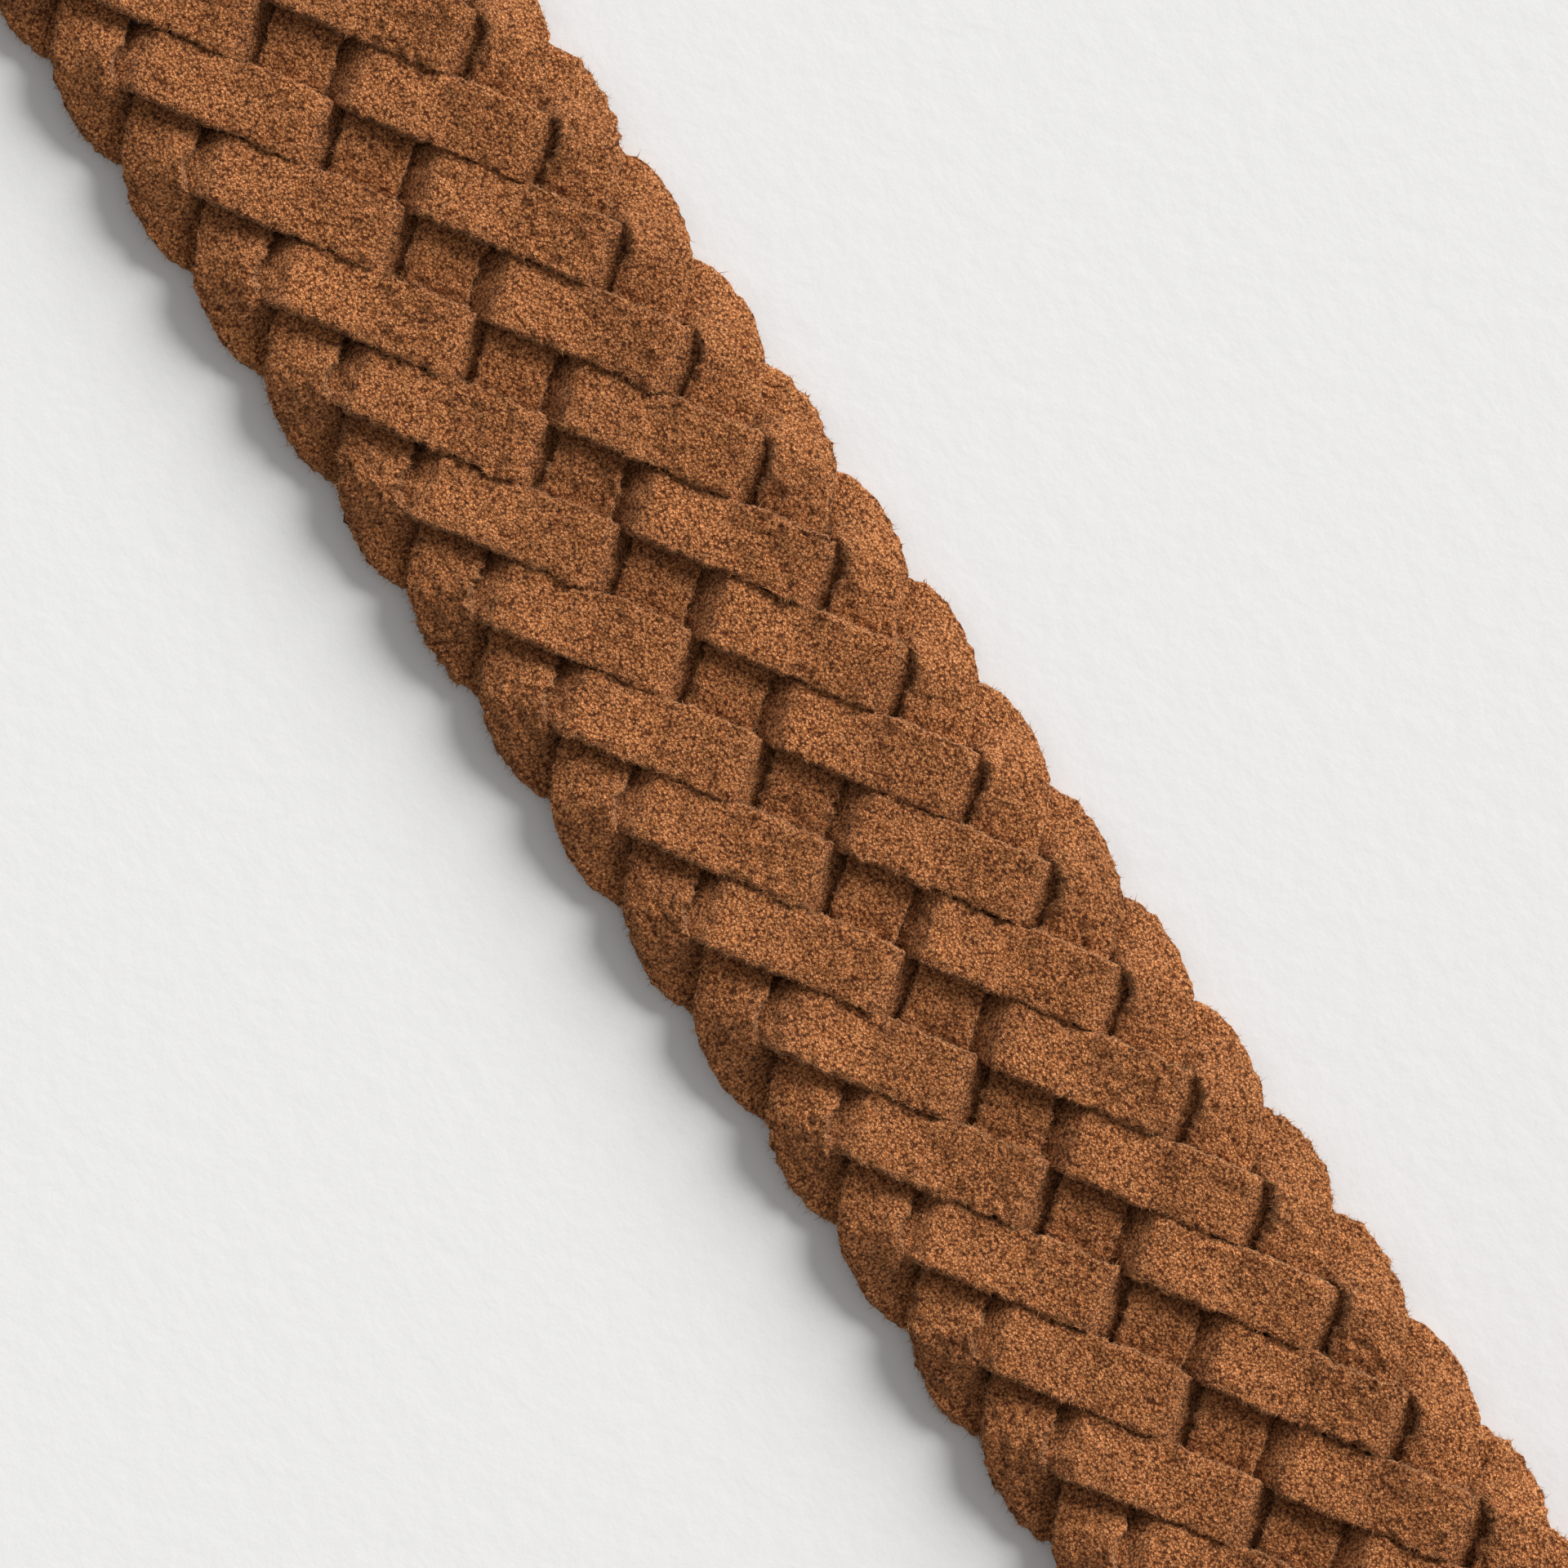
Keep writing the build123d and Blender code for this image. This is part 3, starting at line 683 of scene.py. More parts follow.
def suede_material():
    """Painted shade between the tufts, paler tips that are part fibre colour and part painted highlight,
    over a slow drift of tone.
    """
    material, tree, shader = new_material("suede")
    where = tree.nodes.new("ShaderNodeTexCoord").outputs["Object"]
    astray = warped(tree, where, TUFT * 1.3, 0.30 * MM)
    crumbs = voronoi(tree, astray, TUFT, 0.25)
    fine = noise(tree, where, TUFT * 2.6, 2.0, 0.6)
    clumps = noise(tree, where, TUFT / 3, 2.0, 0.6, 0.4)
    drift = noise(tree, where, DRIFT, 3.0, 0.55)
    # tuft colour: painted shade between the tufts, paler tips partly the fibres' own colour and partly a
    # painted highlight
    tuft_shade_and_highlight = ramp(tree, crumbs, [(0.22, (0.790, 0.350, 0.140)), (0.42, (0.530, 0.198, 0.062)),
                              (0.60, (0.315, 0.099, 0.025)), (0.80, (0.095, 0.021, 0.004))])
    # fine mottling: grain colour, lighter on the raised bits as a painted highlight too
    grain_and_highlight = ramp(tree, fine, [(0.32, (0.48, 0.43, 0.38)), (0.68, (1.50, 1.52, 1.60))])
    tone = ramp(tree, clumps, [(0.30, (0.74, 0.72, 0.70)), (0.70, (1.15, 1.15, 1.15))])
    slow = ramp(tree, drift, [(0.30, (0.82, 0.80, 0.78)), (0.70, (1.10, 1.10, 1.10))])
    colour = mix(tree, 1.0, mix(tree, 1.0, tuft_shade_and_highlight, grain_and_highlight, "MULTIPLY"), tone, "MULTIPLY")
    colour = mix(tree, 1.0, colour, slow, "MULTIPLY")
    cut = mix(tree, 1.0, colour, (0.84, 0.98, 1.20), "MULTIPLY")
    colour = mix(tree, attribute(tree, "cut_edge"), colour, cut)
    colour = mix(tree, attribute(tree, "fibre"), colour, (0.62, 0.270, 0.105))
    tree.links.new(colour, shader.inputs["Base Color"])
    shader.inputs["Roughness"].default_value = 0.95
    shader.inputs["Specular IOR Level"].default_value = 0.15
    shader.inputs["Sheen Weight"].default_value = 0.15
    shader.inputs["Sheen Roughness"].default_value = 0.5
    shader.inputs["Sheen Tint"].default_value = (1.0, 0.72, 0.45, 1)
    sunk = ramp(tree, crumbs, [(0.0, (1, 1, 1)), (0.85, (0, 0, 0))])
    both = mix(tree, 0.22, mix(tree, 0.45, sunk, fine), clumps)
    bump(tree, shader, both, 1.0, 0.62 * MM)
    return material


suede = suede_material()
for piece in laces:
    piece.data.materials.append(suede)

# %% [markdown]
# ## Leather, cut flat and bent
# The leather parts are cut from flat pieces about a millimetre thick, with rounded and
# painted edges. Each one is drawn flat as a filled curve with its real outline, turned into a
# mesh, divided finely, and then every point is bent to where the real piece lies. A map from
# flat coordinates (along, across, height off the leather's middle) does the bending, so
# thread and dents can use the same map.

# %% Cut a flat piece
GRID = 0.6 * MM


def rounded_outline(x0, x1, half, radius_low, radius_high, steps=8):
    """Points round a rectangle from x0 to x1, with their own corner radii at the two ends."""
    points = []
    for cx, cy, radius, start in ((x1, half, radius_high, 0), (x0, half, radius_low, 90),
                                  (x0, -half, radius_low, 180), (x1, -half, radius_high, 270)):
        for i in range(steps + 1):
            turn = math.radians(start + 90 * i / steps)
            points.append((cx - math.copysign(radius, cx - (x0 + x1) / 2) + radius * math.cos(turn),
                           cy - math.copysign(radius, cy) + radius * math.sin(turn)))
    return points


def cut_leather(name, loops, thickness, edge):
    """A flat piece of leather with the given outline and holes, as vertices in a fine grid."""
    curve = bpy.data.curves.new(name, "CURVE")
    curve.dimensions = "2D"
    curve.fill_mode = "BOTH"
    curve.extrude = thickness / 2 - edge
    curve.bevel_depth = edge
    curve.bevel_resolution = 2
    curve.offset = -edge
    for loop in loops:
        spline = curve.splines.new("POLY")
        spline.points.add(len(loop) - 1)
        for point, (x, y) in zip(spline.points, loop):
            point.co = (x, y, 0, 1)
        spline.use_cyclic_u = True
    flat = bpy.data.objects.new(name, curve)
    bpy.context.collection.objects.link(flat)
    bpy.context.view_layer.update()
    mesh = bpy.data.meshes.new_from_object(flat.evaluated_get(bpy.context.evaluated_depsgraph_get()))
    bpy.data.objects.remove(flat)
    shell = bmesh.new()
    shell.from_mesh(mesh)
    bmesh.ops.remove_doubles(shell, verts=shell.verts, dist=1e-6)
    for axis in (0, 1):
        low = min(v.co[axis] for v in shell.verts)
        high = max(v.co[axis] for v in shell.verts)
        count = int((high - low) / GRID)
        normal = [0, 0, 0]
        normal[axis] = 1
        for i in range(1, count):
            at = [0, 0, 0]
            at[axis] = low + (high - low) * i / count
            bmesh.ops.bisect_plane(shell, geom=shell.verts[:] + shell.edges[:] + shell.faces[:],
                                   plane_co=at, plane_no=normal, dist=1e-7)
    shell.to_mesh(mesh)
    shell.free()
    return mesh


# %% Bend it and hand it over
def bend_leather(name, mesh, thickness, bend, body, node_name, slot_name):
    """Bend a flat piece by its map, mark its painted edge, and hand it to the frame."""
    flat = np.zeros(len(mesh.vertices) * 3)
    mesh.vertices.foreach_get("co", flat)
    flat = flat.reshape(-1, 3)
    mesh.vertices.foreach_set("co", bend(flat[:, 0], flat[:, 1], flat[:, 2]).ravel())
    mesh.update()
    piece = bpy.data.objects.new(name, mesh)
    bpy.context.collection.objects.link(piece)
    mesh.polygons.foreach_set("use_smooth", [True] * len(mesh.polygons))
    give_values(piece, "painted", np.abs(flat[:, 2]) < thickness / 2 - 1e-6)
    outward(piece)
    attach(piece, body)
    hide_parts(node_name)
    print(f"{name}: {len(mesh.polygons)} faces")
    return piece


# %% [markdown]
# ## The chape
# The chape folds round the buckle's bar and holds the braid's start between its two layers.
# A slot lets the prong through the fold. It is pressed together towards its end, it shows the
# braid underneath as faint bumps, and the seam pulls a shallow trench along its rim.

# %% The chape's leather
CHAPE_LEATHER = 1.2 * MM
FOLD_REACH = 1.5 * MM
LEATHER_EDGE = 0.32 * MM
fold_radius = CHAPE_MIDDLE - CHAPE_LEATHER / 2
fold_half = math.pi * fold_radius / 2
chape_flat = fold_half + FOLD_REACH + CHAPE_LENGTH
SLOT_WIDTH = 6.6 * MM
SLOT_END = 15.5 * MM
CHAPE_CORNER = 5.0 * MM
SEAM_INSET = 2.4 * MM
STITCH_PITCH = 3.3 * MM
SEAM_START = 19.0 * MM
TRENCH_WIDTH = 0.45 * MM
TOP_TRENCH = 0.16 * MM
UNDER_TRENCH = 0.42 * MM
END_PRESS = 0.30 * MM         # how far the end is pressed down on the braid
BRAID_BUMPS = 0.05 * MM


def seam_distance(x, y, stop, half, corner_radius):
    """Distance to a seam that runs down both sides and round the end at stop."""
    line_half = half - SEAM_INSET
    end = stop - SEAM_INSET
    radius = max(corner_radius - SEAM_INSET, 0.5 * MM)
    dx = np.maximum(x - (end - radius), 0)
    dy = np.maximum(np.abs(y) - (line_half - radius), 0)
    rounded = np.hypot(dx, dy) - radius
    return np.abs(np.where((dx > 0) | (dy > 0), rounded, np.minimum(line_half - np.abs(y), end - x)))


# %% Fold it round the bar
def chape_map(t, y, h):
    """Flat chape to its place: t runs over the fold from the underside's end to the top's."""
    over = np.clip(t, -fold_half, fold_half) / fold_radius
    reach = np.abs(t) - fold_half
    x = np.where(reach > 0, reach, 0) - FOLD_REACH
    top = t > 0
    seam = seam_distance(x, y, CHAPE_LENGTH, TAB_WIDTH / 2, CHAPE_CORNER)
    trench = np.exp(-(seam / TRENCH_WIDTH) ** 2) * np.clip((x - SEAM_START + 1 * MM) / (2 * MM), 0, 1)
    bumps = np.sin(2 * math.pi * (x + y * 0.6) / pitch) * np.cos(math.pi * y / (TAB_WIDTH / 2) * 2.5)
    bumps = bumps * step_between(x, 20 * MM, 30 * MM)
    press = END_PRESS * step_between(x, 48 * MM, CHAPE_LENGTH)
    inward = np.where(top, TOP_TRENCH * trench + press - BRAID_BUMPS * bumps, UNDER_TRENCH * trench)
    r = fold_radius + h - np.where(reach > 0, inward, 0)
    return np.stack([x - r * np.cos(over) * (reach <= 0), y,
                     CHAPE_MIDDLE + r * np.where(reach > 0, np.where(top, 1, -1), np.sin(over))], -1)


slot_half = fold_half + FOLD_REACH + SLOT_END
chape_loops = [rounded_outline(-chape_flat, chape_flat, TAB_WIDTH / 2, CHAPE_CORNER, CHAPE_CORNER),
               rounded_outline(-slot_half, slot_half, SLOT_WIDTH / 2, SLOT_WIDTH / 2, SLOT_WIDTH / 2)]
chape_flat_mesh = cut_leather("chape_flat", chape_loops, CHAPE_LEATHER, LEATHER_EDGE)
chape = bend_leather("chape_leather", chape_flat_mesh, CHAPE_LEATHER, chape_map,
                     "strap", "chape", "leather")

# %% [markdown]
# ## The tip
# Two layers hold the braid's other end, and they lie deep in the roll. The same map idea
# bends them along the strap's line, one layer on each side. Past the braid's last lace the two
# layers are drawn towards each other.

# %% The tip's two layers
TIP_LEATHER = 1.0 * MM
WRAP_HALF = 2.3 * MM          # half the space between the layers
TIP_TRENCH = 0.14 * MM
TIP_PINCH = 1.2 * MM          # how far each layer is drawn in at the rim
PINCH_REACH = 3.2 * MM


def tip_map(side):
    """The map of the front (side 1) or the lining (side -1): x runs on from the tip's start."""
    def bend(x, y, h):
        corner_y = np.maximum(0, np.abs(y) - (TAB_WIDTH / 2 - TIP_CORNER))
        rim = TIP_LENGTH - TIP_CORNER + np.sqrt(np.maximum(TIP_CORNER ** 2 - corner_y ** 2, 0)) - x
        pinch = TIP_PINCH * (1 - step_between(rim, 0, PINCH_REACH)) * (x > TIP_LENGTH / 2)
        seam = seam_distance(x, y, TIP_LENGTH, TAB_WIDTH / 2, TIP_CORNER)
        start_seam = np.where(np.abs(y) < TAB_WIDTH / 2 - SEAM_INSET, np.abs(x - SEAM_INSET), 1)
        seam = np.minimum(np.where(x > SEAM_INSET, seam, 1), start_seam)
        trench = TIP_TRENCH * np.exp(-(seam / TRENCH_WIDTH) ** 2)
        off = WRAP_HALF + TIP_LEATHER / 2 - pinch - trench + h
        return place(tip_start + x, y, side * off)
    return bend


tip_layers = []
for name, node_name, side, slot_name in (("tip_front_leather", "tip_front", 1, "leather"),
                                         ("tip_lining_leather", "tip_lining", -1, "leather_lining")):
    loops = [rounded_outline(0, TIP_LENGTH, TAB_WIDTH / 2, 0.8 * MM, TIP_CORNER, 12)]
    flat_mesh = cut_leather(name + "_flat", loops, TIP_LEATHER, LEATHER_EDGE)
    tip_layers.append(bend_leather(name, flat_mesh, TIP_LEATHER, tip_map(side),
                                   "strap", node_name, slot_name))

# %% [markdown]
# ## The keeper
# A fixed loop that holds the belt's tip. One strip goes over the strap, turns down at both
# sides, and turns in again under the chape's upper leather, where the seam catches its feet.

# %% The keeper's strip
KEEPER_LEATHER = 1.3 * MM
KEEPER_WIDTH = 12.0 * MM
KEEPER_MIDDLE = 46.0 * MM
keeper_low, keeper_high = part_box("keeper")
keeper_side = keeper_high[1] - KEEPER_LEATHER / 2
keeper_top = keeper_high[2] - KEEPER_LEATHER / 2
keeper_foot = keeper_low[2] + KEEPER_LEATHER / 2
UPPER_TURN = 3.25 * MM
LOWER_TURN = 0.95 * MM
FOOT_REACH = 4.6 * MM
SAG = 0.15 * MM               # the loop's top sinks a little in its middle
keeper_runs = [(keeper_side - UPPER_TURN, 0), (UPPER_TURN * math.pi / 2, 1),
               (keeper_top - keeper_foot - UPPER_TURN - LOWER_TURN, 0), (LOWER_TURN * math.pi / 2, 1),
               (FOOT_REACH, 0)]
keeper_half = sum(length for length, turning in keeper_runs)


def keeper_map(t, across, h):
    """Flat keeper strip to its loop: t runs from one foot over the top to the other."""
    sign = np.where(t < 0, -1.0, 1.0)
    left = np.abs(t)
    y, z, angle = np.zeros_like(left), np.full_like(left, keeper_top), np.zeros_like(left)
    for length, turning in keeper_runs:
        part = np.clip(left, 0, length)
        if turning:
            radius = length / (math.pi / 2)
            after = angle + part / radius
            y += radius * (np.sin(after) - np.sin(angle))
            z += radius * (np.cos(after) - np.cos(angle))
            angle = after
        else:
            y += part * np.cos(angle)
            z -= part * np.sin(angle)
        left = left - part
    sag = SAG * np.cos(np.clip(t / keeper_runs[0][0], -1, 1) * math.pi / 2)
    return np.stack([KEEPER_MIDDLE + across, sign * (y + h * np.sin(angle)),
                     z + h * np.cos(angle) - sag], -1)


keeper_loops = [rounded_outline(-keeper_half, keeper_half, KEEPER_WIDTH / 2, 1 * MM, 1 * MM)]
keeper_flat_mesh = cut_leather("keeper_flat", keeper_loops, KEEPER_LEATHER, LEATHER_EDGE)
keeper = bend_leather("keeper_loop", keeper_flat_mesh, KEEPER_LEATHER, keeper_map,
                      "strap", "keeper", "leather")

# %% [markdown]
# ## Thread
# Every stitch is a short length of two-ply waxed thread that rises out of one hole and goes
# down the next. It is drawn in the leather's flat coordinates and bent by the same map, so it
# sits in its trench wherever the leather goes.

# %% Stitches along a seam
STITCH_LENGTH = 2.5 * MM
THREAD = 0.33 * MM            # radius
RINGS = 13
SIDES = 10


def seam_stops(points):
    """Middles and directions of stitches spaced evenly along a line of points."""
    line = np.array(points)
    steps = np.diff(line, axis=0)
    run = np.concatenate([[0], np.cumsum(np.hypot(*steps.T))])
    count = int(run[-1] / STITCH_PITCH)
    at = (np.arange(count) + 0.5) * run[-1] / count

    def along_line(distance):
        return np.stack([np.interp(distance, run, line[:, axis]) for axis in (0, 1)], 1)

    middle = along_line(at)
    ahead = along_line(at + 0.2 * MM)
    behind = along_line(at - 0.2 * MM)
    way = ahead - behind
    return middle, way / np.linalg.norm(way, axis=1, keepdims=True)


def u_seam(start, stop, half, corner_radius):
    """Points of a seam down one side, round the end and back up the other side."""
    line_half = half - SEAM_INSET
    end = stop - SEAM_INSET
    radius = max(corner_radius - SEAM_INSET, 0.5 * MM)
    points = [(start, line_half)]
    for side, angles in ((1, np.linspace(90, 0, 9)), (-1, np.linspace(0, -90, 9))):
        for angle in np.radians(angles):
            points.append((end - radius + radius * math.cos(angle),
                           side * (line_half - radius) + radius * math.sin(angle)))
    points.append((start, -line_half))
    return points


# %% Thread along a seam
def thread_piece(name, rows, node_name, shade=rng):
    """All stitches of one seam as one piece. rows are (middles, directions, height, map)."""
    verts, faces, first = [], [], 0
    k = np.linspace(-1, 1, RINGS)
    phi = np.arange(SIDES) * 2 * math.pi / SIDES
    for middles, ways, height, bend in rows:
        for (mx, my), (dx, dy) in zip(middles, ways):
            length = STITCH_LENGTH * shade.uniform(0.93, 1.05)
            slant = shade.normal(0, 0.035)
            dx, dy = dx - slant * dy, dy + slant * dx
            radius = THREAD * np.sqrt(1 - 0.7 * np.abs(k) ** 8)
            radius = radius[:, None] * (1 + 0.14 * np.cos(2 * phi - 5.5 * k[:, None]))
            rise = height + THREAD * (0.55 - 1.5 * np.abs(k) ** 5)[:, None]
            off = radius * np.cos(phi)
            x = mx + dx * length / 2 * k[:, None] - dy * off
            y = my + dy * length / 2 * k[:, None] + dx * off
            h = rise + radius * np.sin(phi)
            verts.append(bend(x.ravel(), y.ravel(), h.ravel()))
            ring = first + np.arange(RINGS - 1)[:, None] * SIDES
            j = np.arange(SIDES)
            quads = np.stack([ring + j, ring + (j + 1) % SIDES,
                              ring + SIDES + (j + 1) % SIDES, ring + SIDES + j], -1)
            faces += quads.reshape(-1, 4).tolist()
            faces.append((first + j[::-1]).tolist())
            faces.append((first + (RINGS - 1) * SIDES + j).tolist())
            first += RINGS * SIDES
    piece = mesh_piece(name, np.concatenate(verts), faces)
    outward(piece)
    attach(piece, "strap")
    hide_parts(node_name)
    print(f"{name}: {first // (RINGS * SIDES)} stitches")
    return piece


chape_x = fold_half + FOLD_REACH
top_middles, top_ways = seam_stops(u_seam(chape_x + SEAM_START, chape_flat, TAB_WIDTH / 2, CHAPE_CORNER))
base_middles, base_ways = top_middles * [-1, 1], top_ways * [-1, 1]
in_keeper = np.abs(top_middles[:, 0] - chape_x - KEEPER_MIDDLE) < KEEPER_WIDTH / 2
threads = []
for name, node_name, chosen in (("chape_thread", "chape_stitches", ~in_keeper),
                                ("keeper_thread", "keeper_stitches", in_keeper)):
    both_faces = [(top_middles[chosen], top_ways[chosen], CHAPE_LEATHER / 2, chape_map),
                  (base_middles[chosen], base_ways[chosen], CHAPE_LEATHER / 2 - 0.12 * MM, chape_map)]
    threads.append(thread_piece(name, both_faces, node_name))

tip_line = u_seam(SEAM_INSET, TIP_LENGTH, TAB_WIDTH / 2, TIP_CORNER)
tip_rows = []
for side in (1, -1):
    for line in (tip_line, [tip_line[0], tip_line[-1]]):
        middles, ways = seam_stops(line)
        tip_rows.append((middles, ways, TIP_LEATHER / 2, tip_map(side)))
threads.append(thread_piece("tip_thread", tip_rows, "tip_stitches"))

# %% [markdown]
# ## Leather and thread materials
# The leather is vegetable tanned: a pebbled grain with fine creases and a soft waxed shine that is duller
# in the grain's hollows, where the colour is painted darker as painted shade. Cut edges are painted
# darker and burnished. The lining is the same hide, paler and smoother.

# %% Leather and thread
def leather_material(name, dark, light, grain_scale, grain_depth):
    """Pebbled hide between two tones, with grain_scale pebbles per metre and painted edges."""
    material, tree, shader = new_material(name)
    where = tree.nodes.new("ShaderNodeTexCoord").outputs["Object"]
    astray = warped(tree, where, grain_scale * 0.8, 0.35 / grain_scale)
    pebbles = voronoi(tree, astray, grain_scale, 0.35)
    pores = noise(tree, where, grain_scale * 3.2, 2.0, 0.6)
    blotch = noise(tree, where, 90.0, 4.0, 0.6, 0.5)
    scuffs = noise(tree, where, 650.0, 5.0, 0.72, 1.2)
    tone = ramp(tree, blotch, [(0.30, dark), (0.52, tuple((a + b) / 2 for a, b in zip(dark, light))),
                               (0.72, light)])
    # the grain's hollows are painted darker: painted shade
    grain_hollow_shade = ramp(tree, pebbles, [(0.35, (1.06, 1.06, 1.06)), (0.75, (0.62, 0.58, 0.55))])
    colour = mix(tree, 1.0, tone, grain_hollow_shade, "MULTIPLY")
    rubbed = ramp(tree, scuffs, [(0.60, (0, 0, 0)), (0.76, (0.35, 0.35, 0.35))])
    colour = mix(tree, rubbed, colour, tuple(min(1.0, 1.5 * c) for c in light))
    painted = attribute(tree, "painted")
    colour = mix(tree, painted, colour, (0.035, 0.013, 0.006))
    tree.links.new(colour, shader.inputs["Base Color"])
    rough = ramp(tree, pebbles, [(0.30, (0.40, 0.40, 0.40)), (0.75, (0.62, 0.62, 0.62))])
    rough = mix(tree, painted, rough, (0.38, 0.38, 0.38))
    tree.links.new(rough, shader.inputs["Roughness"])
    shader.inputs["Specular IOR Level"].default_value = 0.42
    shader.inputs["Coat Weight"].default_value = 0.12
    shader.inputs["Coat Roughness"].default_value = 0.35
    sunk = ramp(tree, pebbles, [(0.25, (1, 1, 1)), (0.80, (0, 0, 0))])
    relief = mix(tree, 0.25, mix(tree, 0.30, sunk, pores), scuffs)
    flat_edge = mix(tree, painted, relief, (0.5, 0.5, 0.5))
    bump(tree, shader, flat_edge, 0.75, grain_depth)
    return material


def thread_material():
    """Waxed thread with fine hairs."""
    material, tree, shader = new_material("waxed_thread")
    where = tree.nodes.new("ShaderNodeTexCoord").outputs["Object"]
    hairs = noise(tree, where, 5200.0, 3.0, 0.65, 0.8)
    tone = noise(tree, where, 420.0, 2.0)
    base = ramp(tree, tone, [(0.35, (0.30, 0.165, 0.080)), (0.65, (0.42, 0.250, 0.130))])
    shade = ramp(tree, hairs, [(0.30, (0.55, 0.52, 0.50)), (0.65, (1.15, 1.15, 1.15))])
    tree.links.new(mix(tree, 1.0, base, shade, "MULTIPLY"), shader.inputs["Base Color"])
    shader.inputs["Roughness"].default_value = 0.62
    shader.inputs["Sheen Weight"].default_value = 0.2
    bump(tree, shader, hairs, 0.7, 0.06 * MM)
    return material


leather = leather_material("leather", (0.155, 0.052, 0.018), (0.310, 0.118, 0.042), 1500.0, 0.11 * MM)
lining = leather_material("leather_lining", (0.24, 0.115, 0.052), (0.40, 0.215, 0.110), 2300.0, 0.05 * MM)
thread = thread_material()
for piece in (chape, tip_layers[0], keeper):
    piece.data.materials.append(leather)
tip_layers[1].data.materials.append(lining)
for piece in threads:
    piece.data.materials.append(thread)

# %% [markdown]
# ## Buckle
# The buckle's frame, bar and prong have the shapes that the frame gives them. Cast and drawn
# metal has no sharp edges, so each is taken over as a copy whose flat faces are joined up and
# whose edges are rounded with a bevel.

# %% Metal parts with rounded edges
def rounded_metal(name, node_name, body, width, segments=4, angle=28):
    """A copy of a CAD node with its sharp edges rounded."""
    shell = bmesh.new()
    shell.from_mesh(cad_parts[node_name].data)
    bmesh.ops.remove_doubles(shell, verts=shell.verts, dist=2e-6)
    bmesh.ops.dissolve_limit(shell, angle_limit=math.radians(0.6), verts=shell.verts, edges=shell.edges)
    mesh = bpy.data.meshes.new(name)
    shell.to_mesh(mesh)
    shell.free()
    piece = bpy.data.objects.new(name, mesh)
    bpy.context.collection.objects.link(piece)
    bpy.ops.object.select_all(action="DESELECT")
    bpy.context.view_layer.objects.active = piece
    piece.select_set(True)
    rounding = piece.modifiers.new("rounding", "BEVEL")
    rounding.width = width
    rounding.segments = segments
    rounding.limit_method = "ANGLE"
    rounding.angle_limit = math.radians(angle)
    rounding.use_clamp_overlap = True
    evening = piece.modifiers.new("evening", "WEIGHTED_NORMAL")
    evening.keep_sharp = True
    mesh.polygons.foreach_set("use_smooth", [True] * len(mesh.polygons))
    for modifier in (rounding.name, evening.name):
        bpy.ops.object.modifier_apply(modifier=modifier)
    piece.select_set(False)
    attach(piece, body)
    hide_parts(node_name)
    print(f"{name}: {len(piece.data.polygons)} faces")
    return piece


frame_metal = rounded_metal("buckle_frame_cast", "buckle_frame", "buckle", 0.75 * MM)
bar_metal = rounded_metal("buckle_bar_steel", "buckle_bar", "buckle", 0.35 * MM, 3)
prong_metal = rounded_metal("prong_cast", "prong", "prong", 0.80 * MM)

# %% Antique brass and steel
def metal_material(name, bright, dull, brush, patina):
    """Brushed metal with a darker tarnish; brush is how close the scratches lie along X, Y, Z."""
    material, tree, shader = new_material(name)
    where = tree.nodes.new("ShaderNodeTexCoord").outputs["Object"]
    stretch = node(tree, "ShaderNodeVectorMath", operation="MULTIPLY")
    stretch.inputs[1].default_value = brush
    tree.links.new(where, stretch.inputs[0])
    scratches = noise(tree, stretch.outputs[0], 1.0, 4.0, 0.7)
    cloud = noise(tree, where, 170.0, 4.0, 0.62, 0.6)
    specks = noise(tree, where, 1400.0, 3.0, 0.6)
    colour = ramp(tree, cloud, [(0.22, dull), (0.50, bright)])
    spots = ramp(tree, specks, [(0.64, (1, 1, 1)), (0.80, patina)])
    tree.links.new(mix(tree, 1.0, colour, spots, "MULTIPLY"), shader.inputs["Base Color"])
    shader.inputs["Metallic"].default_value = 1.0
    rough = ramp(tree, scratches, [(0.30, (0.24, 0.24, 0.24)), (0.70, (0.33, 0.33, 0.33))])
    tree.links.new(mix(tree, 0.35, rough, ramp(tree, cloud, [(0.3, (0.55, 0.55, 0.55)),
                                                             (0.6, (0.25, 0.25, 0.25))])),
                   shader.inputs["Roughness"])
    bump(tree, shader, mix(tree, 0.4, scratches, specks), 0.25, 0.01 * MM)
    return material


brass = metal_material("antique_brass", (0.62, 0.42, 0.19), (0.36, 0.22, 0.095),
                       (160.0, 3800.0, 3800.0), (0.55, 0.50, 0.45))
steel = metal_material("drawn_steel", (0.56, 0.55, 0.53), (0.40, 0.39, 0.38),
                       (3800.0, 160.0, 3800.0), (0.7, 0.68, 0.66))
for piece in (frame_metal, prong_metal):
    piece.data.materials.clear()
    piece.data.materials.append(brass)
bar_metal.data.materials.clear()
bar_metal.data.materials.append(steel)

# %% [markdown]
# ## Floor, light and camera
# The belt lies on pale paper. One broad, low key light comes from the upper right of the
# view and leaves a soft shadow on the other side, and an even white world fills it in. The
# camera looks straight down on the flat stretch, turned so that the strap runs across the
# view from corner to corner.

# %% Floor and light
VIEW_RIGHT = Vector((0.5585, 0.8295, 0))
VIEW_UP = Vector((-0.8295, 0.5585, 0))
KEY_HEIGHT = math.radians(27)
KEY_SOFTNESS = math.radians(34)
KEY_STRENGTH = 5.14
FILL_STRENGTH = 0.39

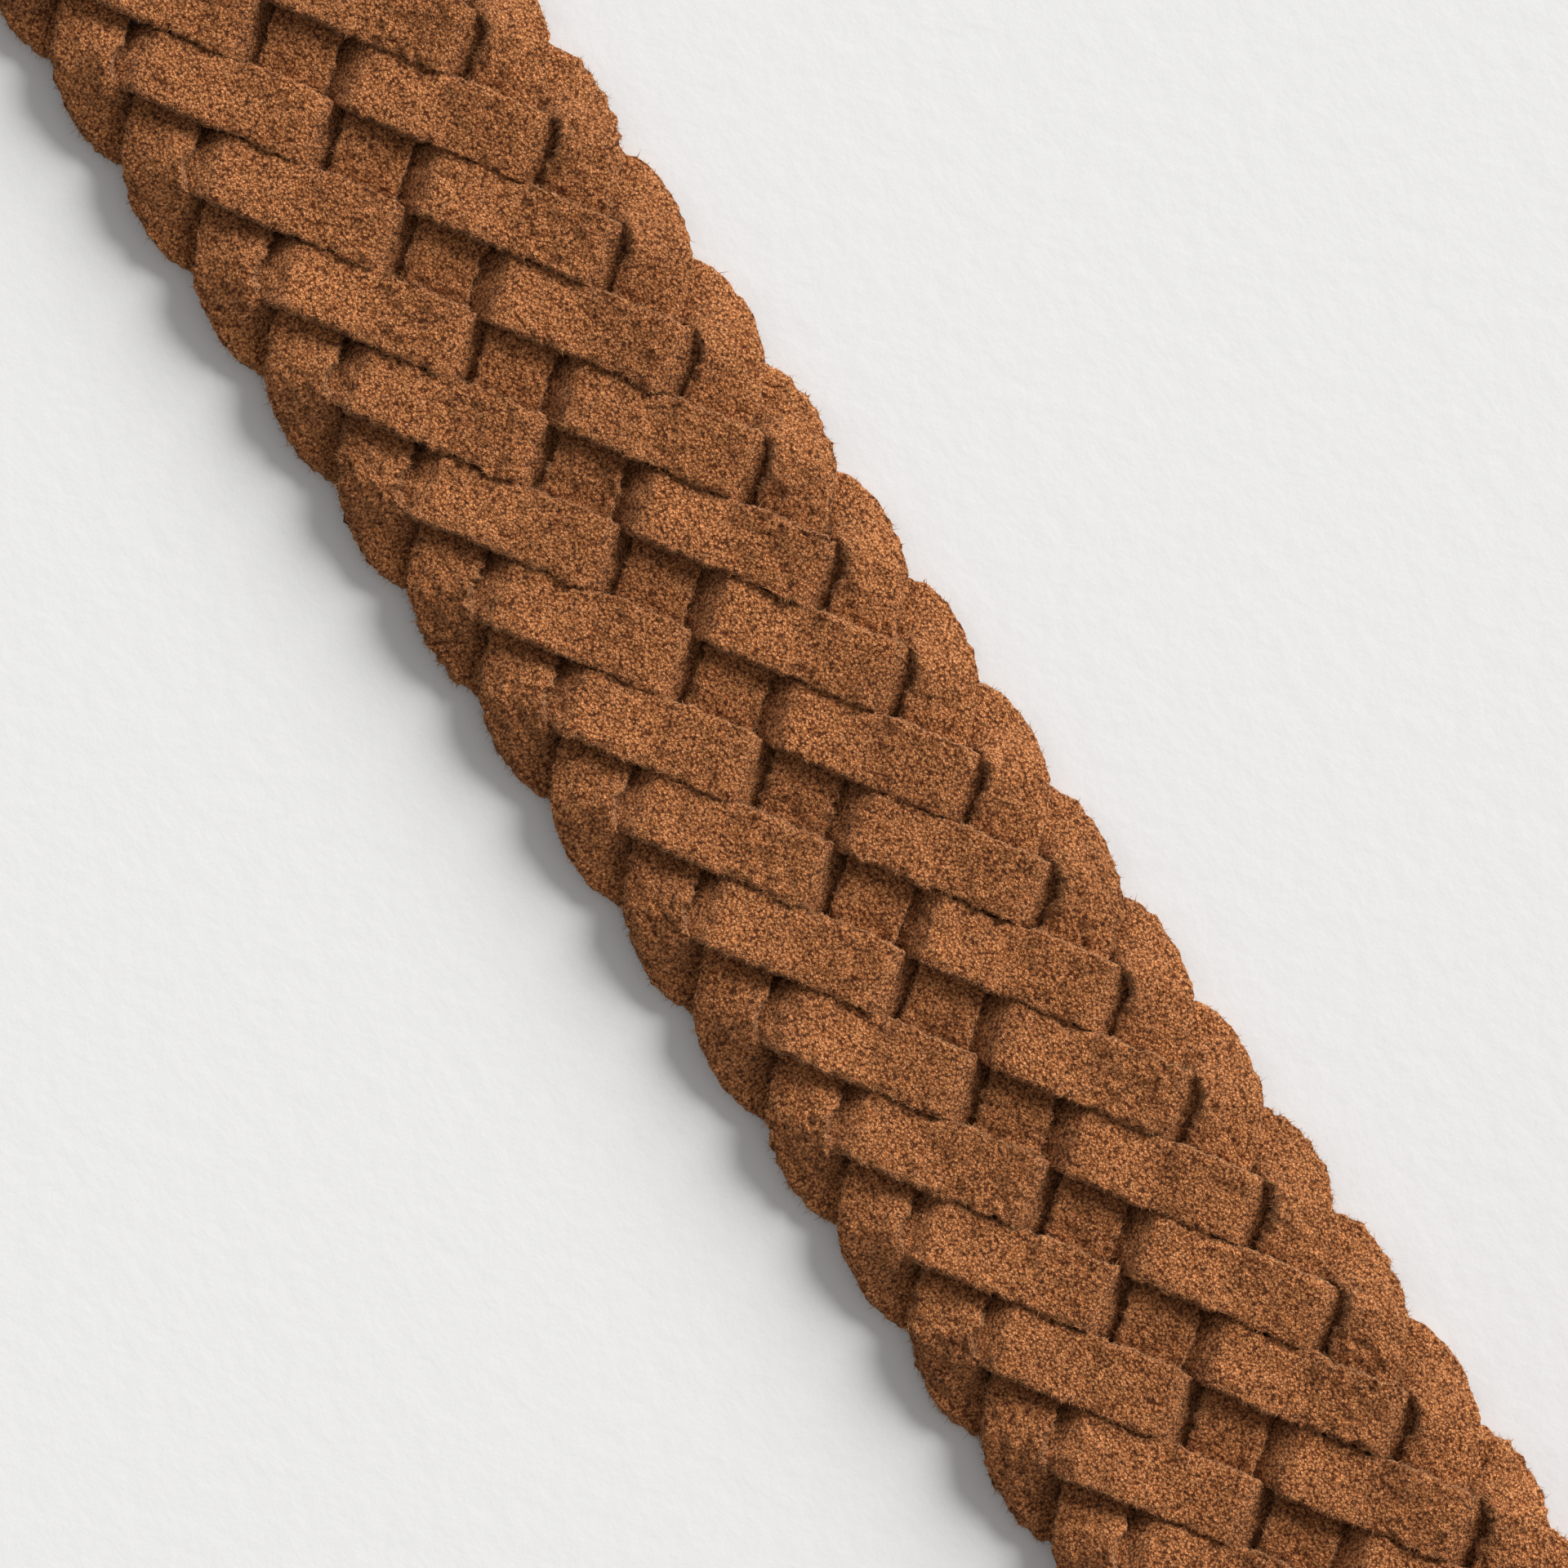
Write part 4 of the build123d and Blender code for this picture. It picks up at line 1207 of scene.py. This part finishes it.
bpy.ops.object.select_all(action="DESELECT")
bpy.ops.mesh.primitive_plane_add(size=6, location=(0.15, 0, 0))
floor = bpy.context.object
floor.name = "floor"
paper, paper_tree, paper_shader = new_material("paper")
paper_where = paper_tree.nodes.new("ShaderNodeTexCoord").outputs["Object"]
paper_shader.inputs["Base Color"].default_value = (0.745, 0.740, 0.737, 1)
paper_shader.inputs["Roughness"].default_value = 0.9
paper_shader.inputs["Specular IOR Level"].default_value = 0.1
bump(paper_tree, paper_shader, noise(paper_tree, paper_where, 420.0, 5.0, 0.6), 0.22, 0.25 * MM)
floor.data.materials.append(paper)

key_data = bpy.data.lights.new("key", "SUN")
key_data.energy = KEY_STRENGTH
key_data.angle = KEY_SOFTNESS
key = bpy.data.objects.new("key", key_data)
bpy.context.collection.objects.link(key)
level_way = VIEW_RIGHT * 0.72 + VIEW_UP * 0.69
toward = level_way * math.cos(KEY_HEIGHT) + Vector((0, 0, math.sin(KEY_HEIGHT)))
key.rotation_euler = toward.to_track_quat("Z", "Y").to_euler()
world = bpy.data.worlds.new("studio")
world.use_nodes = True
world.node_tree.nodes["Background"].inputs["Color"].default_value = (1, 1, 1, 1)
world.node_tree.nodes["Background"].inputs["Strength"].default_value = FILL_STRENGTH
bpy.context.scene.world = world
bpy.context.scene.view_settings.view_transform = "Standard"

# %% Camera
VIEW_WIDTH = 0.1206
VIEW_HEIGHT = 0.6
VIEW_TARGET = 0.173           # distance from the bar that the camera looks at, roughly
PHASE = -1.3 * MM             # and its place from the nearest of the plait's crossings

crossing = corner / out_slope
nearest = crossing + round((VIEW_TARGET - crossing) / pitch) * pitch
camera_data = bpy.data.cameras.new("camera")
camera_data.sensor_width = 36
camera_data.lens = 36 * VIEW_HEIGHT / VIEW_WIDTH
camera = bpy.data.objects.new("camera", camera_data)
bpy.context.collection.objects.link(camera)
camera.location = (float(line_points([nearest + PHASE])[0][0]), -0.65 * MM, VIEW_HEIGHT)
camera.rotation_euler = (0, 0, math.atan2(VIEW_RIGHT.y, VIEW_RIGHT.x))
bpy.context.scene.camera = camera
